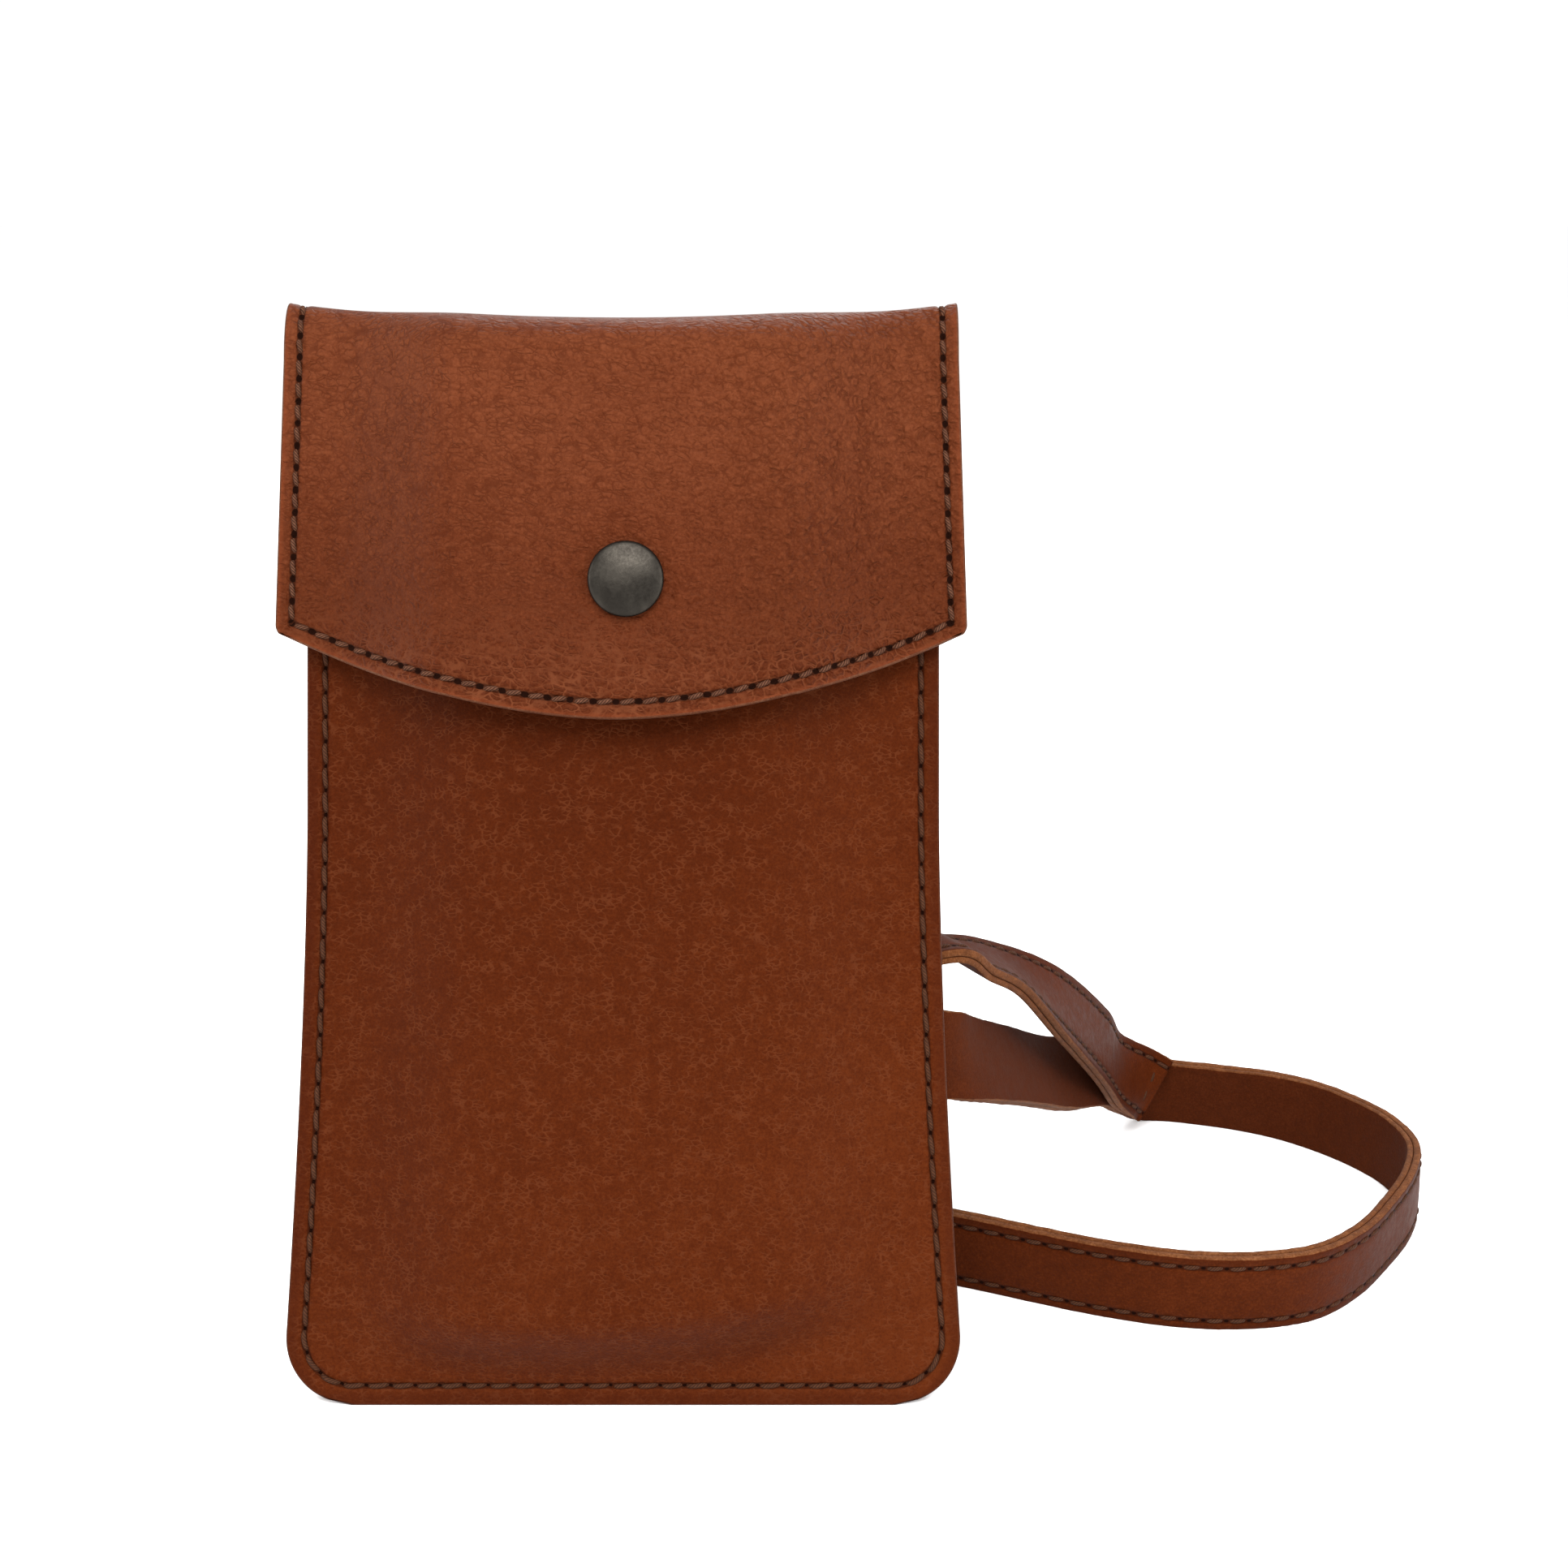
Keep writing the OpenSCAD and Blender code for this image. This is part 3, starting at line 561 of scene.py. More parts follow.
def body_seam(top):
    """Line of the body's seam as u and v: down one side, round the corners and up the other."""
    v = np.linspace(top, corner_r, 300)
    side = np.stack([side_u(v) - body_inset, v], -1)
    a = np.radians(np.linspace(0, 90, 60))
    low = corner_r - (corner_r - body_inset) * np.sin(a)
    corner = np.stack([side_u(low) - corner_r + (corner_r - body_inset) * np.cos(a), low], -1)
    half = np.vstack([side, corner[1:]])
    return np.vstack([half, half[::-1] * [-1, 1]])


def on_face(line, face, way):
    """A line on a face given as w of u and v: its places, with the way out of the face beside them."""
    u, v = line.T
    slope_u = (face(u + fine_step, v) - face(u - fine_step, v)) / (2 * fine_step)
    slope_v = (face(u, v + fine_step) - face(u, v - fine_step)) / (2 * fine_step)
    out = at(-slope_u * way, -slope_v * way, np.full(len(u), float(way)))
    return np.hstack([at(u, v, face(u, v)), unit(out)])


def panel_edge(rows, top):
    """Distance of a panel's points from its nearest cut edge."""
    return np.minimum(np.minimum(rows, top - rows)[:, None], column_edge[None])


front_rows = body_rows(mouth_v)
front_seam = on_face(body_seam(mouth_v - 2), lambda u, v: front_out - front_depth(u, v), -1)
front_face = panel(front_rows, front_out, lambda u, v: -front_depth(u, v))
front_back = panel(front_rows, seam_w, lambda u, v: -front_depth(u, v))
front_map = seam_places(front_face, [front_seam], body_pitch)
front = leather_shell("front_leather", pressed(front_face, front_map, body_pitch), front_back,
                      [body_grain, body_flesh, cut_edge], front_map, panel_edge(front_rows, mouth_v))
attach(front, "pouch")
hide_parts("front_panel")

# Back panel. A second hide of the same cut, a little taller and nearly flat, sewn to the front.
back_bulge = 1.5
back_out = seam_w + hide_t
back_rows = body_rows(fold_v)


def back_depth(u, v):
    """How far the back panel stands out: a small share of the same bulge, with faint waves."""
    return swell(u, v) * (back_bulge + 0.12 * np.sin(u / 9 + 1) * np.sin(v / 13))


def turned(grid):
    """The same grid with its columns from right to left, so that it faces backwards."""
    return grid[:, ::-1]


tail_h = 24  # the flap's tail covers the panel's top, so the seam stops below it
back_seam = on_face(body_seam(fold_v - tail_h - 1), lambda u, v: back_out + back_depth(u, v), 1)
back_face = turned(panel(back_rows, back_out, back_depth))
back_inside = turned(panel(back_rows, seam_w, back_depth))
back_map = seam_places(back_face, [back_seam], body_pitch)
back = leather_shell("back_leather", pressed(back_face, back_map, body_pitch), back_inside,
                     [body_grain, body_flesh, cut_edge], back_map, panel_edge(back_rows, fold_v))
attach(back, "pouch")
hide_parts("back_panel")

# Body seam. Waxed brown thread, sewn by machine through both hides from the mouth down, round
# the bottom and up, with its stitches sunk in a groove on the front and on the back.
thread_w = 0.82
thread_sink = 0.85  # how deep a stitch's ends go, in thread widths
thread_end_w = 0.78  # width at the ends, as a share of the middle's
thread_flat = 0.8  # height, as a share of the width
ply_turns = 2.4
stitch_rings = 7
stitch_sides = 6
thread_deep = (0.020, 0.0068, 0.0032)


def thread_finish(name, main, pale):
    """Twisted thread: fine slanted bands along the map "ply", with dark gaps between the plies."""
    finish, tree, shader = new_finish(name)
    ply = node(tree, "UVMap", uv_map="ply").outputs[0]
    bands = node(tree, "TexWave", {"Vector": ply, "Scale": 1.1, "Distortion": 1.5},
                 wave_type="BANDS", bands_direction="DIAGONAL").outputs["Fac"]
    place = node(tree, "TexCoord").outputs["Object"]
    tone = maths(tree, "MULTIPLY", bands, noise(tree, place, 1400.0, 3.0))
    colour = three_tones(tree, tone, thread_deep + (1,), main + (1,), pale + (1,), 0.3)
    relief = node(tree, "Bump", {"Distance": 0.00006, "Height": bands})
    feed(tree, shader, {"Base Color": colour, "Roughness": 0.8, "Normal": relief.outputs[0],
                        "Specular IOR Level": 0.1})
    return finish


body_thread = thread_finish("waxed thread", (0.038, 0.0125, 0.0045), (0.072, 0.0265, 0.0110))


def stitches(name, lines, pitch, finish=body_thread, slant=-0.14, pit_share=0.08):
    """Rows of stitches along lines of places and outward directions.

    A stitch is a tube between two needle holes. Its middle line comes out of one hole and goes
    into the next by the root of a sine of the way between them, and crosses the row by the slant
    in millimetres. Its section is a flattened six-sided ring, and its ends are closed. A share
    of the way at each end is left open as the hole's pit.
    """
    share = np.linspace(pit_share, 1 - pit_share, stitch_rings)
    climb = np.clip(np.sin(math.pi * (share - share[0]) / (share[-1] - share[0])), 0, 1)
    turn = np.arange(stitch_sides) * 2 * math.pi / stitch_sides
    tubes, plies = [], []
    for line in lines:
        arc = arc_length(line)
        count = max(round(arc[-1] / pitch), 1)
        run = (np.arange(count)[:, None] + share) * arc[-1] / count
        spot = even(line, run.ravel()).reshape(count, stitch_rings, 6)
        middle, out = spot[..., :3], spot[..., 3:]
        aside = np.cross(out, unit(np.gradient(middle, axis=1)))
        rise = thread_w * thread_sink * (np.sqrt(climb) - 1)
        middle = middle + out * rise[None, :, None] + aside * (slant * np.cos(math.pi * share))[None, :, None]
        thick = thread_w / 2 * (thread_end_w + (1 - thread_end_w) * np.sqrt(climb))
        ring = (aside[:, :, None] * np.cos(turn)[None, None, :, None]
                + out[:, :, None] * thread_flat * np.sin(turn)[None, None, :, None])
        tubes.append(middle[:, :, None] + ring * thick[None, :, None, None])
        around = np.broadcast_to(turn / (2 * math.pi) * ply_turns, (count, stitch_rings, stitch_sides))
        plies.append(np.stack([np.broadcast_to(run[:, :, None], around.shape), around], -1))
    points = np.concatenate(tubes)
    ply = np.concatenate(plies)
    count = len(points)
    a = numbered(stitch_rings, stitch_sides)
    first, last = a[0], a[-1]
    ends = np.array([first[[0, 1, 2, 3]], first[[0, 3, 4, 5]], last[[3, 2, 1, 0]], last[[5, 4, 3, 0]]])
    one = np.vstack([tube_quads(a), ends])
    quads = (one[None] + (np.arange(count) * stitch_rings * stitch_sides)[:, None, None]).reshape(-1, 4)
    return make_piece(name, points, quads, [finish], maps={"ply": ply})


body_stitches = stitches("body_seam_thread", [front_seam, back_seam], body_pitch)
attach(body_stitches, "pouch")
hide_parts("body_thread")

# Flap. One piece of pebbled, oiled leather that is sewn to the back as a tail, goes over the
# fold and comes down the front to a bowed lower edge.
flap_top_w = 108.6
flap_low_w = 112
flap_side_h = 54
flap_arc_h = 14.5
arc_power = 1.85
flap_corner_r = 2.2
corner_reach = 3.5
flap_t = 1.6
lining_t = 1
clear = 0.3  # air between pieces that only lie together
stud_base_t = 0.8
snap_h = 3
flap_in = front_out - stud_base_t - 2 * clear
flap_mid = flap_in - lining_t
flap_rise = snap_h + hide_t / 2 + clear + flap_in - front_out  # how much more it bulges, for the snap
fold_dip = 3.6
pebble_x = (-0.005, 0.03)  # metres across, between which the creases turn to pebbles
flap_inset = 2.6
flap_low_inset = 2.75
flap_pitch = 3.6
fold_half_w = 54.6
tail_share = waist_w / 2 / fold_half_w  # the tail narrows to the body's width
narrow_h = 12
hinge_v = 175
hinge_w = (2.7, -2.3)  # depths of the places fold_start and fold_end on the fold's middle, at hinge_v
ring_steps = (500, 700)
snap_u = 1.5
snap_v = pouch_h - 46.5
cap_r = 6
dent_r = 11
dent_depth = 0.4
flap_deep = (0.030, 0.0044, 0.0008)
flap_main = (0.055, 0.0115, 0.0034)
flap_pale = (0.083, 0.0208, 0.0074)
flap_rim = (0.088, 0.0185, 0.0060)


def flap_relief(tree, place):
    """The flap's grain: drawn-out creases that rise to the right and turn to pebbles at the right.

    The creases are the nearer of a fine net and a coarse one, made fainter and stronger by
    streaks of noise along them.
    """
    fine = net(tree, place, 1.05, (0.55, 1, 1), -7.0)
    coarse = net(tree, place, 2.3, (0.33, 1, 1), -12.0)
    creases = maths(tree, "MINIMUM", fine, maths(tree, "MULTIPLY", coarse, 1.3))
    along = vectors(tree, "MULTIPLY", tilted(tree, place, -8), (0.3, 1, 1))
    streaks = ranged(tree, noise(tree, along, 620.0, 3.0), 0.36, 0.64, 0.7, 1.4)
    creases = maths(tree, "MULTIPLY", creases, streaks)
    pebbles = maths(tree, "MULTIPLY", net(tree, place, 1.2, (0.75, 1, 1), -6.0), 0.75)
    across_x = node(tree, "SeparateXYZ", {0: place}).outputs[0]
    share = ranged(tree, across_x, *pebble_x, 0, 1)
    return node(tree, "Mix", {0: share, 2: creases, 3: pebbles}).outputs[0]


# The flap is painted lighter towards its top and darker low, as light falling from above.
flap_grain = leather("flap grain", (flap_deep, flap_main, flap_pale), flap_relief, 0.17, 0.52,
                     pitch=flap_pitch, valley=0.6, pores=0.00006, gloss=0.11, rim_tone=flap_rim,
                     rim_reach=1.2, hole_r=0.58, crease_w=0.085, gap_share=0.5, cloudy=0.08,
                     rise=0.22, low_z=0.11, high_z=0.172, side_depth=2.0,
                     pale_low=0.75, pale_line=(0.11, 0.033, 0.013))
flap_cut = leather("flap cut edge", ((0.055, 0.015, 0.007), (0.10, 0.036, 0.018), (0.16, 0.085, 0.048)),
                   even_grain(0.35), 0.05, 0.7, valley=0.4, pores=0.00015)
lining_finish = leather("lining", ((0.042, 0.0135, 0.0055), (0.078, 0.028, 0.012), (0.12, 0.048, 0.022)),
                        even_grain(0.6), 0.03, 0.8, valley=0.12, pores=0.0001)
flap_up_shares = np.linspace(0, 1, 52)[1:]
arch_angles = np.radians(np.linspace(180, 0, 40))[1:]
tail_shares = np.linspace(0, 1, 20)[1:-1]
tail_edge_rows = np.concatenate([np.arange(6.4, 0.9, -0.3), [0.7, 0]])


def flap_half(v):
    """Half the flap's width, which grows evenly from the fold down."""
    return flap_top_w / 2 + (flap_low_w - flap_top_w) / 2 * (pouch_h - v) / flap_side_h


def flap_low_v(u):
    """Height of the flap's lower edge: lowest in the middle, and up by a power of the way out."""
    share = np.minimum(2 * abs(u) / flap_low_w, 1)
    return pouch_h - flap_side_h - flap_arc_h + flap_arc_h * share**arc_power


def flap_swell(u, v):
    """Share of the flap's bulge: one soft step in from its sides."""
    return soft_step((flap_half(v) - abs(u) - shoulder_in) / shoulder_w)


def flap_uneven(u, v):
    """Slow waves of worn leather, and the dent that the cap is pressed into by a smooth step."""
    from_cap = np.hypot(u - snap_u, v - snap_v)
    waves = 0.1 * np.sin(u / 8.5 + 0.7) * np.sin(v / 9 + 0.3) + 0.05 * np.sin(u / 3.9 + v / 6)
    dent = dent_depth * step((dent_r - from_cap) / (dent_r - cap_r))
    return flap_swell(u, v) * waves * step((from_cap - cap_r) / 8) - dent


def flap_path(t):
    """Grid of the flap's leather at t millimetres out from its inner face.

    Rows go up the front from the lower edge, over the fold and down the tail. The front is a
    bulge on a flat rim, the fold half an ellipse, which dips in a parabola across, and the tail
    follows the back panel.
    """
    flat_u = columns(flap_low_w / 2)[0]
    turn_in = step((corner_reach - np.minimum(column_edge, corner_reach)) / corner_reach)
    low = flap_low_v(abs(flat_u) - flap_corner_r * turn_in)
    v = np.vstack([low + edge_rows[:, None],
                   low + edge_rows[-1] + flap_up_shares[:, None] * (fold_v - low - edge_rows[-1])])
    lift = np.concatenate([edge_rows, np.full(len(flap_up_shares), far)])[:, None]
    under = np.maximum(flap_corner_r - lift, 0)
    rounding = flap_corner_r - np.sqrt(np.maximum(flap_corner_r**2 - under**2, 0))
    scale = flat_u / (flap_low_w / 2)
    half = flap_half(v)
    d = column_edge[None]
    u = np.where(d < far, np.sign(scale) * (half - d), 0)
    inner = half - edge_places[-1]
    middle = slice(len(edge_places), len(edge_places) + len(middle_shares))
    u[:, middle] = -inner[:, :1] * middle_shares
    u = u - np.sign(scale) * rounding * turn_in
    front = at(u, v, flap_mid - t - (front_bulge + flap_rise) * flap_swell(u, v) - flap_uneven(u, v))
    top_u = u[-1]
    share = flap_swell(top_u, fold_v)
    rear = back_out + back_bulge * swell(top_u * tail_share, fold_v)
    fore = flap_mid - (front_bulge + flap_rise) * share - flap_uneven(top_u, fold_v)
    wide = (rear - fore) / 2 + t
    high = fold_h - flap_t - fold_dip * (1 - (2 * top_u / flap_top_w) ** 2) + t
    a = arch_angles[:, None]
    arch = at(top_u, fold_v + high * np.sin(a), (rear + fore) / 2 + wide * np.cos(a))
    down = np.concatenate([tail_shares * (tail_h - tail_edge_rows[0]), tail_h - tail_edge_rows])[:, None]
    narrow = 1 - (1 - tail_share) * step(down / narrow_h)
    tail = at(top_u * narrow, fold_v - down, rear + t)
    return np.concatenate([front, arch, tail])


def grid_line(grid, rows, cols):
    """Places and outward directions of a grid at fractional rows and columns, between its points."""
    out = normals(grid)
    both = np.concatenate([grid, out], -1)
    i = np.clip(np.floor(rows).astype(int), 0, grid.shape[0] - 2)
    j = np.clip(np.floor(cols).astype(int), 0, grid.shape[1] - 2)
    y, x = (rows - i)[:, None], (cols - j)[:, None]
    return ((1 - y) * ((1 - x) * both[i, j] + x * both[i, j + 1])
            + y * ((1 - x) * both[i + 1, j] + x * both[i + 1, j + 1]))


def ring_seam(grid, low_inset, side_inset, end_inset):
    """A seam all round a grid, set in from its lower edge, its sides and its far end."""
    side = np.interp(side_inset, edge_places, np.arange(len(edge_places)))
    low = np.interp(low_inset, edge_rows, np.arange(len(edge_rows)))
    end = grid.shape[0] - 1 - np.interp(end_inset, edge_rows, np.arange(len(edge_rows)))
    right = grid.shape[1] - 1 - side
    wide, tall = ring_steps
    across = np.linspace(side, right, wide)
    up = np.linspace(low, end, tall)
    rows = np.concatenate([np.full(wide, low), up[1:], np.full(wide - 1, end), up[::-1][1:]])
    cols = np.concatenate([across, np.full(tall - 1, right), across[::-1][1:], np.full(tall - 1, side)])
    return grid_line(grid, rows, cols)


flap_face = flap_path(flap_t)
flap_inside = flap_path(0)
flap_seam = ring_seam(flap_face, flap_low_inset, flap_inset, body_inset)
flap_map = seam_places(flap_face, [flap_seam], flap_pitch)
flap_long = np.full(len(flap_up_shares) + len(arch_angles) + len(tail_shares), far)
flap_row_edge = np.concatenate([edge_rows, flap_long, tail_edge_rows])
flap_edge = np.minimum(flap_row_edge[:, None], column_edge[None])
flap = leather_shell("flap_leather", pressed(flap_face, flap_map, flap_pitch), flap_inside,
                     [flap_grain, lining_finish, flap_cut], flap_map, flap_edge)
fold_start = at(0, hinge_v, hinge_w[0]) * MM
fold_end = at(0, hinge_v, hinge_w[1]) * MM
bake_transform(flap)
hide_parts("flap", "flap_fold", "flap_tail")

# Flap lining. A thinner split leather glued and sewn behind the flap. It runs on through the
# fold to the edge of the back panel.
lining_rows = len(edge_rows) + len(flap_up_shares) + len(arch_angles)
lining_face = flap_path(0)[:lining_rows]
lining_back = flap_path(-lining_t)[:lining_rows]
lining = leather_shell("flap_lining_leather", lining_face, lining_back,
                       [lining_finish, lining_finish, cut_edge])
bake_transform(lining)
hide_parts("flap_lining")

# Flap seam. One line of thread round the whole flap: along the lower edge, up both sides, over
# the fold and across the tail, where it holds the flap on the back.
flap_thread = thread_finish("paler thread", (0.058, 0.021, 0.010), (0.125, 0.054, 0.029))
flap_stitches = stitches("flap_seam_thread", [flap_seam], flap_pitch, flap_thread, slant=-0.24,
                         pit_share=0.16)
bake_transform(flap_stitches)
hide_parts("flap_thread", "tail_thread")

# Snap cap. A pressed brass disc with a pewter finish, low-domed, its edge turned under, with a
# post that goes through the flap into the socket.
cap_base = flap_mid - flap_t - front_bulge - flap_rise + dent_depth
cap_profile = np.array([  # radius, height over the pressed leather
    (0, 2.3), (1, 2.28), (2, 2.21), (3, 2.09), (4, 1.92), (4.8, 1.74), (5.3, 1.6), (5.6, 1.48),
    (5.82, 1.31), (5.95, 1.1), (cap_r, 0.85), (5.95, 0.6), (5.8, 0.35), (5.5, 0.12), (5, 0),
    (1.5, 0), (1.5, -2.2), (0, -2.2)])
cap_sides = 96
cap_rings = 120
pewter_deep = (0.0190, 0.0165, 0.0138, 1)
pewter_pale = (0.0330, 0.0290, 0.0240, 1)


def metal(name, deep, pale, roughness):
    """Brushed metal: two tones by fine noise, which also varies the polish."""
    finish, tree, shader = new_finish(name)
    place = node(tree, "TexCoord").outputs["Object"]
    share = ranged(tree, noise(tree, place, 260.0, 6.0, 0.6), 0.32, 0.68, 0, 1)
    scratch = noise(tree, place, 2400.0, 4.0)
    polish = ranged(tree, scratch, 0.3, 0.7, roughness - 0.07, roughness + 0.07)
    relief = node(tree, "Bump", {"Distance": 0.00002, "Height": scratch})
    feed(tree, shader, {"Base Color": mixed(tree, share, deep, pale), "Roughness": polish,
                        "Normal": relief.outputs[0], "Metallic": 1.0})
    return finish


def turned_piece(name, profile, finish, u, v, w):
    """A round piece: a profile of radii and heights carried round an axis out of the face."""
    angle = np.arange(cap_sides) * 2 * math.pi / cap_sides
    rings = even(profile, np.linspace(0, arc_length(profile)[-1], cap_rings))
    rings = np.vstack([profile[:1], rings[1:-1], profile[-1:]])
    points = at(u + rings[:, :1] * np.cos(angle), v + rings[:, :1] * np.sin(angle), w - rings[:, 1:])
    piece = make_piece(name, points, tube_quads(numbered(cap_rings, cap_sides)), [finish])
    work = bmesh.new()
    work.from_mesh(piece.data)
    bmesh.ops.remove_doubles(work, verts=work.verts, dist=1e-6)
    work.to_mesh(piece.data)
    work.free()
    return piece


pewter = metal("pewter", pewter_deep, pewter_pale, 0.42)
cap = turned_piece("snap_cap_dome", cap_profile, pewter, snap_u, snap_v, cap_base)
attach(cap, "flap")
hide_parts("snap_cap")

# Snap works. The socket and its wire spring under the flap, and the stud and its post on the
# front panel, are turned and stamped parts, bright plated steel and spring wire.
plated = metal("plated steel", (0.20, 0.195, 0.185, 1), (0.34, 0.33, 0.31, 1), 0.3)
wire = metal("spring wire", (0.15, 0.15, 0.15, 1), (0.26, 0.26, 0.26, 1), 0.25)
for snap_node, snap_finish in [("snap_socket", plated), ("snap_stud", plated), ("snap_post", plated),
                               ("snap_spring", wire)]:
    snap_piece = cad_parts[snap_node]
    snap_piece.data.materials.clear()
    snap_piece.data.materials.append(snap_finish)

# Belt loop. A band of the body's leather down the back, sewn on at both ends and standing off
# between them for a belt and for the strap's two eyes.
loop_band_w = 26
loop_low_v = 38
loop_top_v = 140
loop_gap = 8
loop_inset = 2.4
strap_w = 14.8
back_top_w = back_out + back_bulge
patch_v = loop_gap + strap_w / 4
band_rise_v = 2 * loop_gap
loop_h = loop_top_v - loop_low_v
loop_rim = 5.5
loop_rim_places = edge_places[:14]
loop_rows = np.concatenate([loop_rim_places, np.arange(loop_rim, loop_h - loop_rim + 0.1, 0.9),
                            loop_h - loop_rim_places[::-1]])
loop_cols = np.concatenate([loop_rim_places, np.linspace(loop_rim, loop_band_w - loop_rim, 20),
                            loop_band_w - loop_rim_places[::-1]]) - loop_band_w / 2


def band_w(v):
    """Distance of the band from the seam plane: on the back at both ends, and off it by smooth steps."""
    inside = np.minimum(v - loop_low_v, loop_top_v - v) - patch_v
    return back_top_w + loop_gap * step(inside / band_rise_v)


def band(t):
    """Grid of the band at t millimetres out from its inner face, a little hollow across."""
    v = (loop_low_v + loop_rows)[:, None]
    u = -loop_cols[None]
    hollow = 0.15 * (1 - (2 * u / loop_band_w) ** 2) * (band_w(v) > back_top_w + 1)
    return at(u, v, band_w(v) + t - hollow)


def loop_box(low, high):
    """A line round the sewn end of the band, as u and v."""
    reach = loop_band_w / 2 - loop_inset
    corners = np.array([(-reach, low), (reach, low), (reach, high), (-reach, high), (-reach, low)])
    return even(corners, np.linspace(0, arc_length(corners)[-1], 200))


loop_ends = [(loop_low_v + loop_inset, loop_low_v + patch_v - 2),
             (loop_top_v - patch_v + 2, loop_top_v - loop_inset)]
loop_seams = [on_face(loop_box(*ends), lambda u, v: band_w(v) + hide_t, 1) for ends in loop_ends]
loop_face = band(hide_t)
loop_map = seam_places(loop_face, loop_seams, body_pitch)
loop_edge = np.minimum(np.minimum(loop_rows, loop_rows[::-1])[:, None],
                       np.minimum(loop_cols + loop_band_w / 2, loop_band_w / 2 - loop_cols)[None])
belt_loop = leather_shell("belt_loop_leather", pressed(loop_face, loop_map, body_pitch), band(0),
                          [body_grain, body_flesh, cut_edge], loop_map, loop_edge)
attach(belt_loop, "pouch")
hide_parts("belt_loop")
loop_stitches = stitches("belt_loop_seam_thread", loop_seams, body_pitch)
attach(loop_stitches, "pouch")
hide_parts("belt_loop_thread")

# Strap. One long strip of the body's leather with a lining of split leather, laid on its edge
# on the floor. Each end is turned round the belt loop and sewn to its own run as an eye.
strap_t = 1.4
strap_lining_t = 1.2
full_t = strap_t + strap_lining_t
glue_line = strap_t - full_t / 2
half_strap = strap_w / 2
strap_inset = 2
strap_reach = 100
back_loop_r = 41
back_loop_x, back_loop_y = -0.08, 0.92
strap_pitch = 4
curve_steps = 12
join_steps = 9  # points from an end of the strap to the stitches across it
join_half_w = 4
along_v = at(0, 1, 0)
along_w = at(0, 0, 1)


def stand(x_share, y_share, lean_x, lean_y):
    """A place on the floor, as shares of the reach, and how far the upper edge leans."""
    width = unit(np.array([lean_x, lean_y, 1.0]))
    return np.array([x_share * strap_reach, y_share * strap_reach, 0]) + half_strap * width, width


def air(x_share, y_share, z_share, width):
    """A place in the air, as shares of the reach."""
    return strap_reach * np.array([x_share, y_share, z_share]), unit(np.array(width))


def behind(u, v, w, turn):
    """A place at the pouch's back, and the turn of the width away from it."""
    turn = math.radians(turn)
    return at(u, v, w), along_v * math.cos(turn) + along_w * math.sin(turn)


gap_mid_w = back_top_w + loop_gap / 2
outer_mid_w = back_top_w + loop_gap + hide_t + clear + full_t / 2
side_w = back_out + clear + full_t / 2
band_u = loop_band_w / 2
eye_turn_u = band_u + loop_gap
first_eye_v = loop_low_v + patch_v + band_rise_v + half_strap
second_eye_v = first_eye_v + strap_w + loop_gap / 4
body_u = waist_w / 2


def eye(slot_v, back_v):
    """An eye round the belt loop: through its gap, round its edge and back behind it."""
    drop = slot_v - back_v
    turn_v = (slot_v + back_v) / 2
    return [
        behind(band_u, slot_v, gap_mid_w, 0), behind(0, slot_v - drop / 4, gap_mid_w, 0),
        behind(-band_u, turn_v, gap_mid_w, 0), behind(-eye_turn_u, turn_v, gap_mid_w + full_t / 2, 0),
        behind(-eye_turn_u - full_t, turn_v, (gap_mid_w + outer_mid_w) / 2, 0),
        behind(-eye_turn_u, turn_v, outer_mid_w - full_t / 2, 0),
        behind(-band_u, turn_v, outer_mid_w, 0), behind(0, back_v + drop / 4, outer_mid_w, 0),
        behind(band_u, back_v, outer_mid_w, 0)]


join_run = [
    air(0.918, 0.986, 0.174, [0, 0.42, 0.9]), air(0.986, 1.07, 0.118, [0.06, 0.1, 0.99]),
    stand(1.05, 1.134, 0.1, -0.16)]


def lap(i):
    """A place against the lining side of the join's run, where the first end is sewn to it."""
    (a, width), b, c = join_run[i], join_run[min(i + 1, 2)], join_run[max(i - 1, 0)]
    through = unit(np.cross(b[0] - c[0], width))
    return a + through * (full_t + 2 * clear) + np.array([0, 0, clear]), width


lower_v = first_eye_v - loop_gap
front_run = [
    ((lap(2)[0] + lap(1)[0]) / 2, (lap(2)[1] + lap(1)[1]) / 2), lap(1), lap(0),
    air(0.889, 0.846, 0.29, [0.09, 0.59, 0.8]), air(0.777, 0.653, 0.448, [-0.1, 0.68, 0.73]),
    air(0.65, 0.485, 0.579, [-0.56, 0.72, 0.4]), air(0.574, 0.388, 0.635, [-0.66, 0.72, 0.2]),
    air(0.516, 0.318, 0.688, [-0.6, 0.78, 0.1]),
    behind(body_u * 0.78, first_eye_v, gap_mid_w + loop_gap / 2, 60),
    behind(body_u * 0.54, first_eye_v, gap_mid_w + full_t / 2, 25)]
rear_run = [
    behind(body_u * 0.46, lower_v - loop_gap / 3, outer_mid_w - full_t, 0),
    behind(body_u * 0.7, lower_v - loop_gap * 0.7, gap_mid_w + clear, 0),
    behind(body_u * 0.88, lower_v - loop_gap, side_w + half_strap * 0.4, 0),
    behind(body_u + full_t, lower_v - loop_gap * 1.2, side_w + half_strap, 0),
    air(0.6, 0.352, 0.458, [-0.18, 0.47, 0.86]), air(0.694, 0.566, 0.357, [-0.26, 0.51, 0.82]),
    air(0.797, 0.794, 0.247, [-0.25, 0.52, 0.81])]
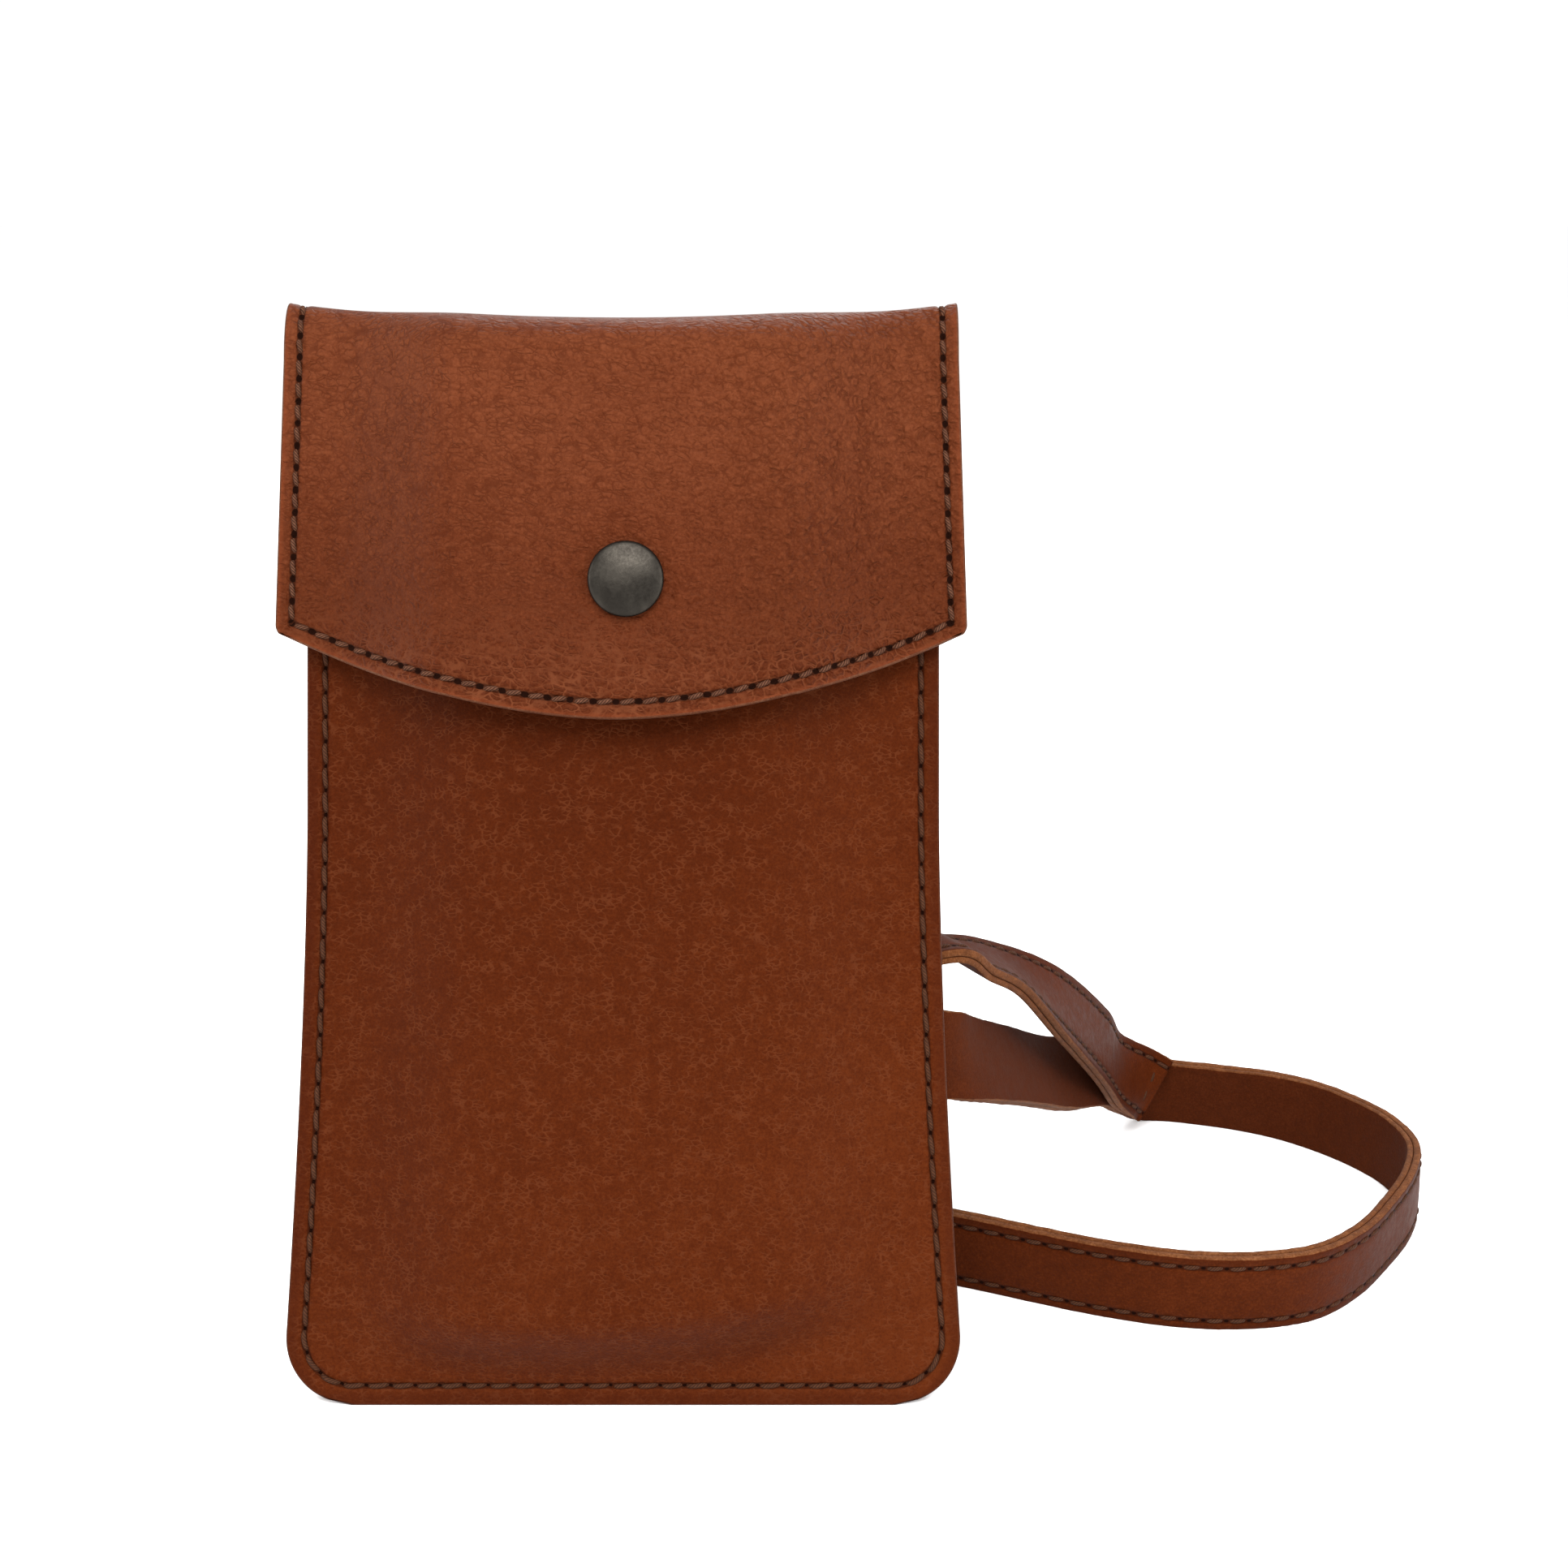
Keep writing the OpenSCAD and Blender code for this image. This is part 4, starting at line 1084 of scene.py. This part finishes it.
floor_run = [stand(*place) for place in [
    (1.176, 1.106, 0.02, -0.22), (1.286, 1.053, 0, -0.14), (1.37, 0.98, -0.02, -0.04),
    (1.435, 0.895, -0.04, -0.02), (1.474, 0.81, -0.04, -0.02), (1.485, 0.7, -0.04, -0.04),
    (1.442, 0.585, -0.02, -0.08), (1.37, 0.472, 0.02, -0.1), (1.285, 0.36, 0.04, -0.12),
    (1.19, 0.28, 0.02, -0.13), (1.075, 0.25, 0, -0.13), (0.95, 0.257, 0, -0.13),
    (0.82, 0.297, 0, -0.13), (0.7, 0.35, 0, -0.12), (0.58, 0.405, 0, -0.1), (0.45, 0.452, 0, -0.06),
    (0.3, 0.49, 0, 0)]]


def back_turn(degrees):
    """A place on the strap's second loop, behind the pouch."""
    a = math.radians(degrees)
    share = back_loop_r / strap_reach
    return stand(back_loop_x + share * math.cos(a), back_loop_y + share * math.sin(a), 0, 0)


hidden_run = [stand(0.1, 0.51, 0, 0)] + [back_turn(a) for a in range(-90, -355, -24)]
climb_run = [
    air(0.35, 0.79, 0.16, [0, 0.4, 0.9]), air(0.39, 0.7, 0.32, [0, 0.7, 0.7]),
    air(0.425, 0.62, 0.5, [0, 0.7, 0.7]), air(0.44, 0.54, 0.68, [0, 0.65, 0.75]),
    air(0.41, 0.46, 0.82, [0, 0.45, 0.9]),
    behind(body_u * 0.62, second_eye_v + clear, gap_mid_w + 2.4 * full_t, 0),
    behind(body_u * 0.45, second_eye_v, gap_mid_w + full_t / 2, 0)]
end_run = [
    behind(body_u * 0.44, second_eye_v - full_t / 2, gap_mid_w + full_t * 2.1, 0),
    behind(body_u * 0.58, second_eye_v - clear, gap_mid_w + full_t * 3.5, 0)]
strap_way = (front_run + eye(first_eye_v, lower_v) + rear_run + join_run + floor_run + hidden_run
             + climb_run + eye(second_eye_v, second_eye_v - full_t / 2) + end_run)


def smooth(places):
    """Curve through the places in which each stretch leaves along the line between its neighbours."""
    padded = np.vstack([places[:1], places, places[-1:]])[:, None]
    a, b, c, d = padded[:-3], padded[1:-2], padded[2:-1], padded[3:]
    t = (np.arange(curve_steps) / curve_steps)[None, :, None]
    bent = (2 * b + (c - a) * t + (2 * a - 5 * b + 4 * c - d) * t**2 + (3 * b - a - 3 * c + d) * t**3) / 2
    return np.vstack([bent.reshape(-1, 3), places[-1:]])


mid_line = smooth(np.array([place for place, width in strap_way]))
width_line = smooth(np.array([width for place, width in strap_way]))
ahead = unit(np.gradient(mid_line, axis=0))
through = unit(np.cross(ahead, width_line))
across = np.cross(through, ahead)
strap_row = half_strap - strap_inset
row_places = np.array([-1.2, -0.7, -0.35, 0, 0.35, 0.7, 1.2])
grain_places = np.concatenate([row_places - strap_row, np.linspace(-3.4, 3.4, 7), row_places + strap_row])
lining_places = np.linspace(half_strap - 1, 1 - half_strap, 9)[::-1]
strap_corner = 0.45
strap_groove = 0.22
strap_groove_half_w = 0.55
strap_hollow = 0.12
strap_side = half_strap - 0.4  # further out than this is cut edge
fray = 0.035
fibres = np.random.default_rng(5).normal(0, fray, (len(mid_line), 2))
strap_lines = [np.hstack([mid_line + across * side * strap_row - through * full_t / 2, -through])
               for side in (-1, 1)]


def strap_layer(name, face, rear, places, groove, finishes):
    """A layer of the strap between two depths: a rounded oblong carried along the strap's line.

    Its corners are quarter circles, its outer side sinks in a bell curve at both rows of
    stitches, and its cut sides are a little uneven from place to place.
    """
    bend = np.radians([90, 60, 30, 0])
    corner_x = strap_corner * (1 - np.sin(bend)) - half_strap
    corner_y = strap_corner * (1 - np.cos(bend))
    x = np.concatenate([corner_x, places, -corner_x[::-1]])
    lift = np.concatenate([corner_y, 0 * places, corner_y[::-1]])
    sunk = groove * np.exp(-(((abs(x) - strap_row) / strap_groove_half_w) ** 2))
    sunk = sunk - strap_hollow * (1 - (x / half_strap) ** 2)
    loop_x = np.concatenate([x, x[::-1]])
    loop_y = np.concatenate([face + lift + sunk, rear - lift[::-1]])
    side = np.concatenate([np.arange(3), len(x) - 3 + np.arange(3)])
    side = np.isin(np.arange(len(loop_x)), np.concatenate([side, 2 * len(x) - 1 - side]))
    frayed_x = loop_x + np.where(loop_x < 0, fibres[:, :1], fibres[:, 1:]) * side
    points = (mid_line[:, None] + across[:, None] * frayed_x[..., None]
              + through[:, None] * np.broadcast_to(loop_y, frayed_x.shape)[..., None])
    points[..., 2] = np.maximum(points[..., 2], 0)
    rings, count = points.shape[:2]
    quads = tube_quads(numbered(rings, count))[:, [0, 3, 2, 1]]
    j = np.arange(len(x) - 1)
    end = np.stack([j, j + 1, count - 2 - j, count - 1 - j], -1)
    quads = np.vstack([quads, end[:, ::-1], end + (rings - 1) * count])
    cut = (abs(loop_x) > strap_side) & (abs(np.roll(loop_x, -1)) > strap_side)
    kinds = np.concatenate([np.tile(cut, rings - 1), np.ones(2 * len(end), bool)]).astype(int)
    stitch_x = [arc_length(line) / stitch_length(line, strap_pitch) for line in strap_lines]
    seam_x = np.where(loop_x < 0, stitch_x[0][:, None], stitch_x[1][:, None])
    on_grain = np.arange(count) < len(x)
    seam_y = np.where(on_grain & (groove > 0), abs(abs(loop_x) - strap_row), far)
    seam = np.stack([seam_x, np.broadcast_to(seam_y, seam_x.shape)], -1)
    edge = np.broadcast_to(half_strap - abs(loop_x), seam_x.shape)
    return make_piece(name, points, quads, finishes, kinds, {"seam": seam}, edge)


strap_grain = leather("strap grain",
                      ((0.024, 0.0038, 0.0006), (0.039, 0.0067, 0.0011), (0.062, 0.0125, 0.0028)),
                      even_grain(0.9), 0.02, 0.6, pitch=strap_pitch, valley=0.25, rim_share=0.3, gloss=0.05)
strap_flesh = leather("strap flesh",
                      ((0.024, 0.0042, 0.0009), (0.038, 0.0072, 0.0017), (0.056, 0.0125, 0.0036)),
                      even_grain(0.5), 0.03, 0.85, valley=0.1, pores=0.00015, rim_share=0, gloss=0.08)
strap_edge = leather("strap edge", ((0.040, 0.011, 0.003), (0.085, 0.028, 0.009), (0.15, 0.060, 0.024)),
                     even_grain(0.3), 0.06, 0.8, valley=0.4, pores=0.0002, rim_share=0)
strap = strap_layer("strap_leather", -full_t / 2, glue_line, grain_places, strap_groove,
                    [strap_grain, strap_edge])
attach(strap, "pouch")
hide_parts("strap_eye", "strap", "strap_behind", "strap_climb")
strap_lining = strap_layer("strap_lining_leather", glue_line, full_t / 2, lining_places, 0,
                           [strap_flesh, strap_edge])
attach(strap_lining, "pouch")
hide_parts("strap_lining")
strap_stitches = stitches("strap_seam_thread", strap_lines, strap_pitch, slant=-0.1)
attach(strap_stitches, "pouch")
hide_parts("strap_thread")
join_lines = []
sweep = np.linspace(-join_half_w, join_half_w, 40)[:, None]
for ring in (join_steps, len(mid_line) - 1 - join_steps):
    join_lines.append(np.hstack([mid_line[ring] + across[ring] * sweep - through[ring] * full_t / 2,
                                 np.tile(-through[ring], (len(sweep), 1))]))
join_stitches = stitches("strap_join_seam_thread", join_lines, strap_pitch, slant=-0.1)
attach(join_stitches, "pouch")
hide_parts("strap_join_thread")
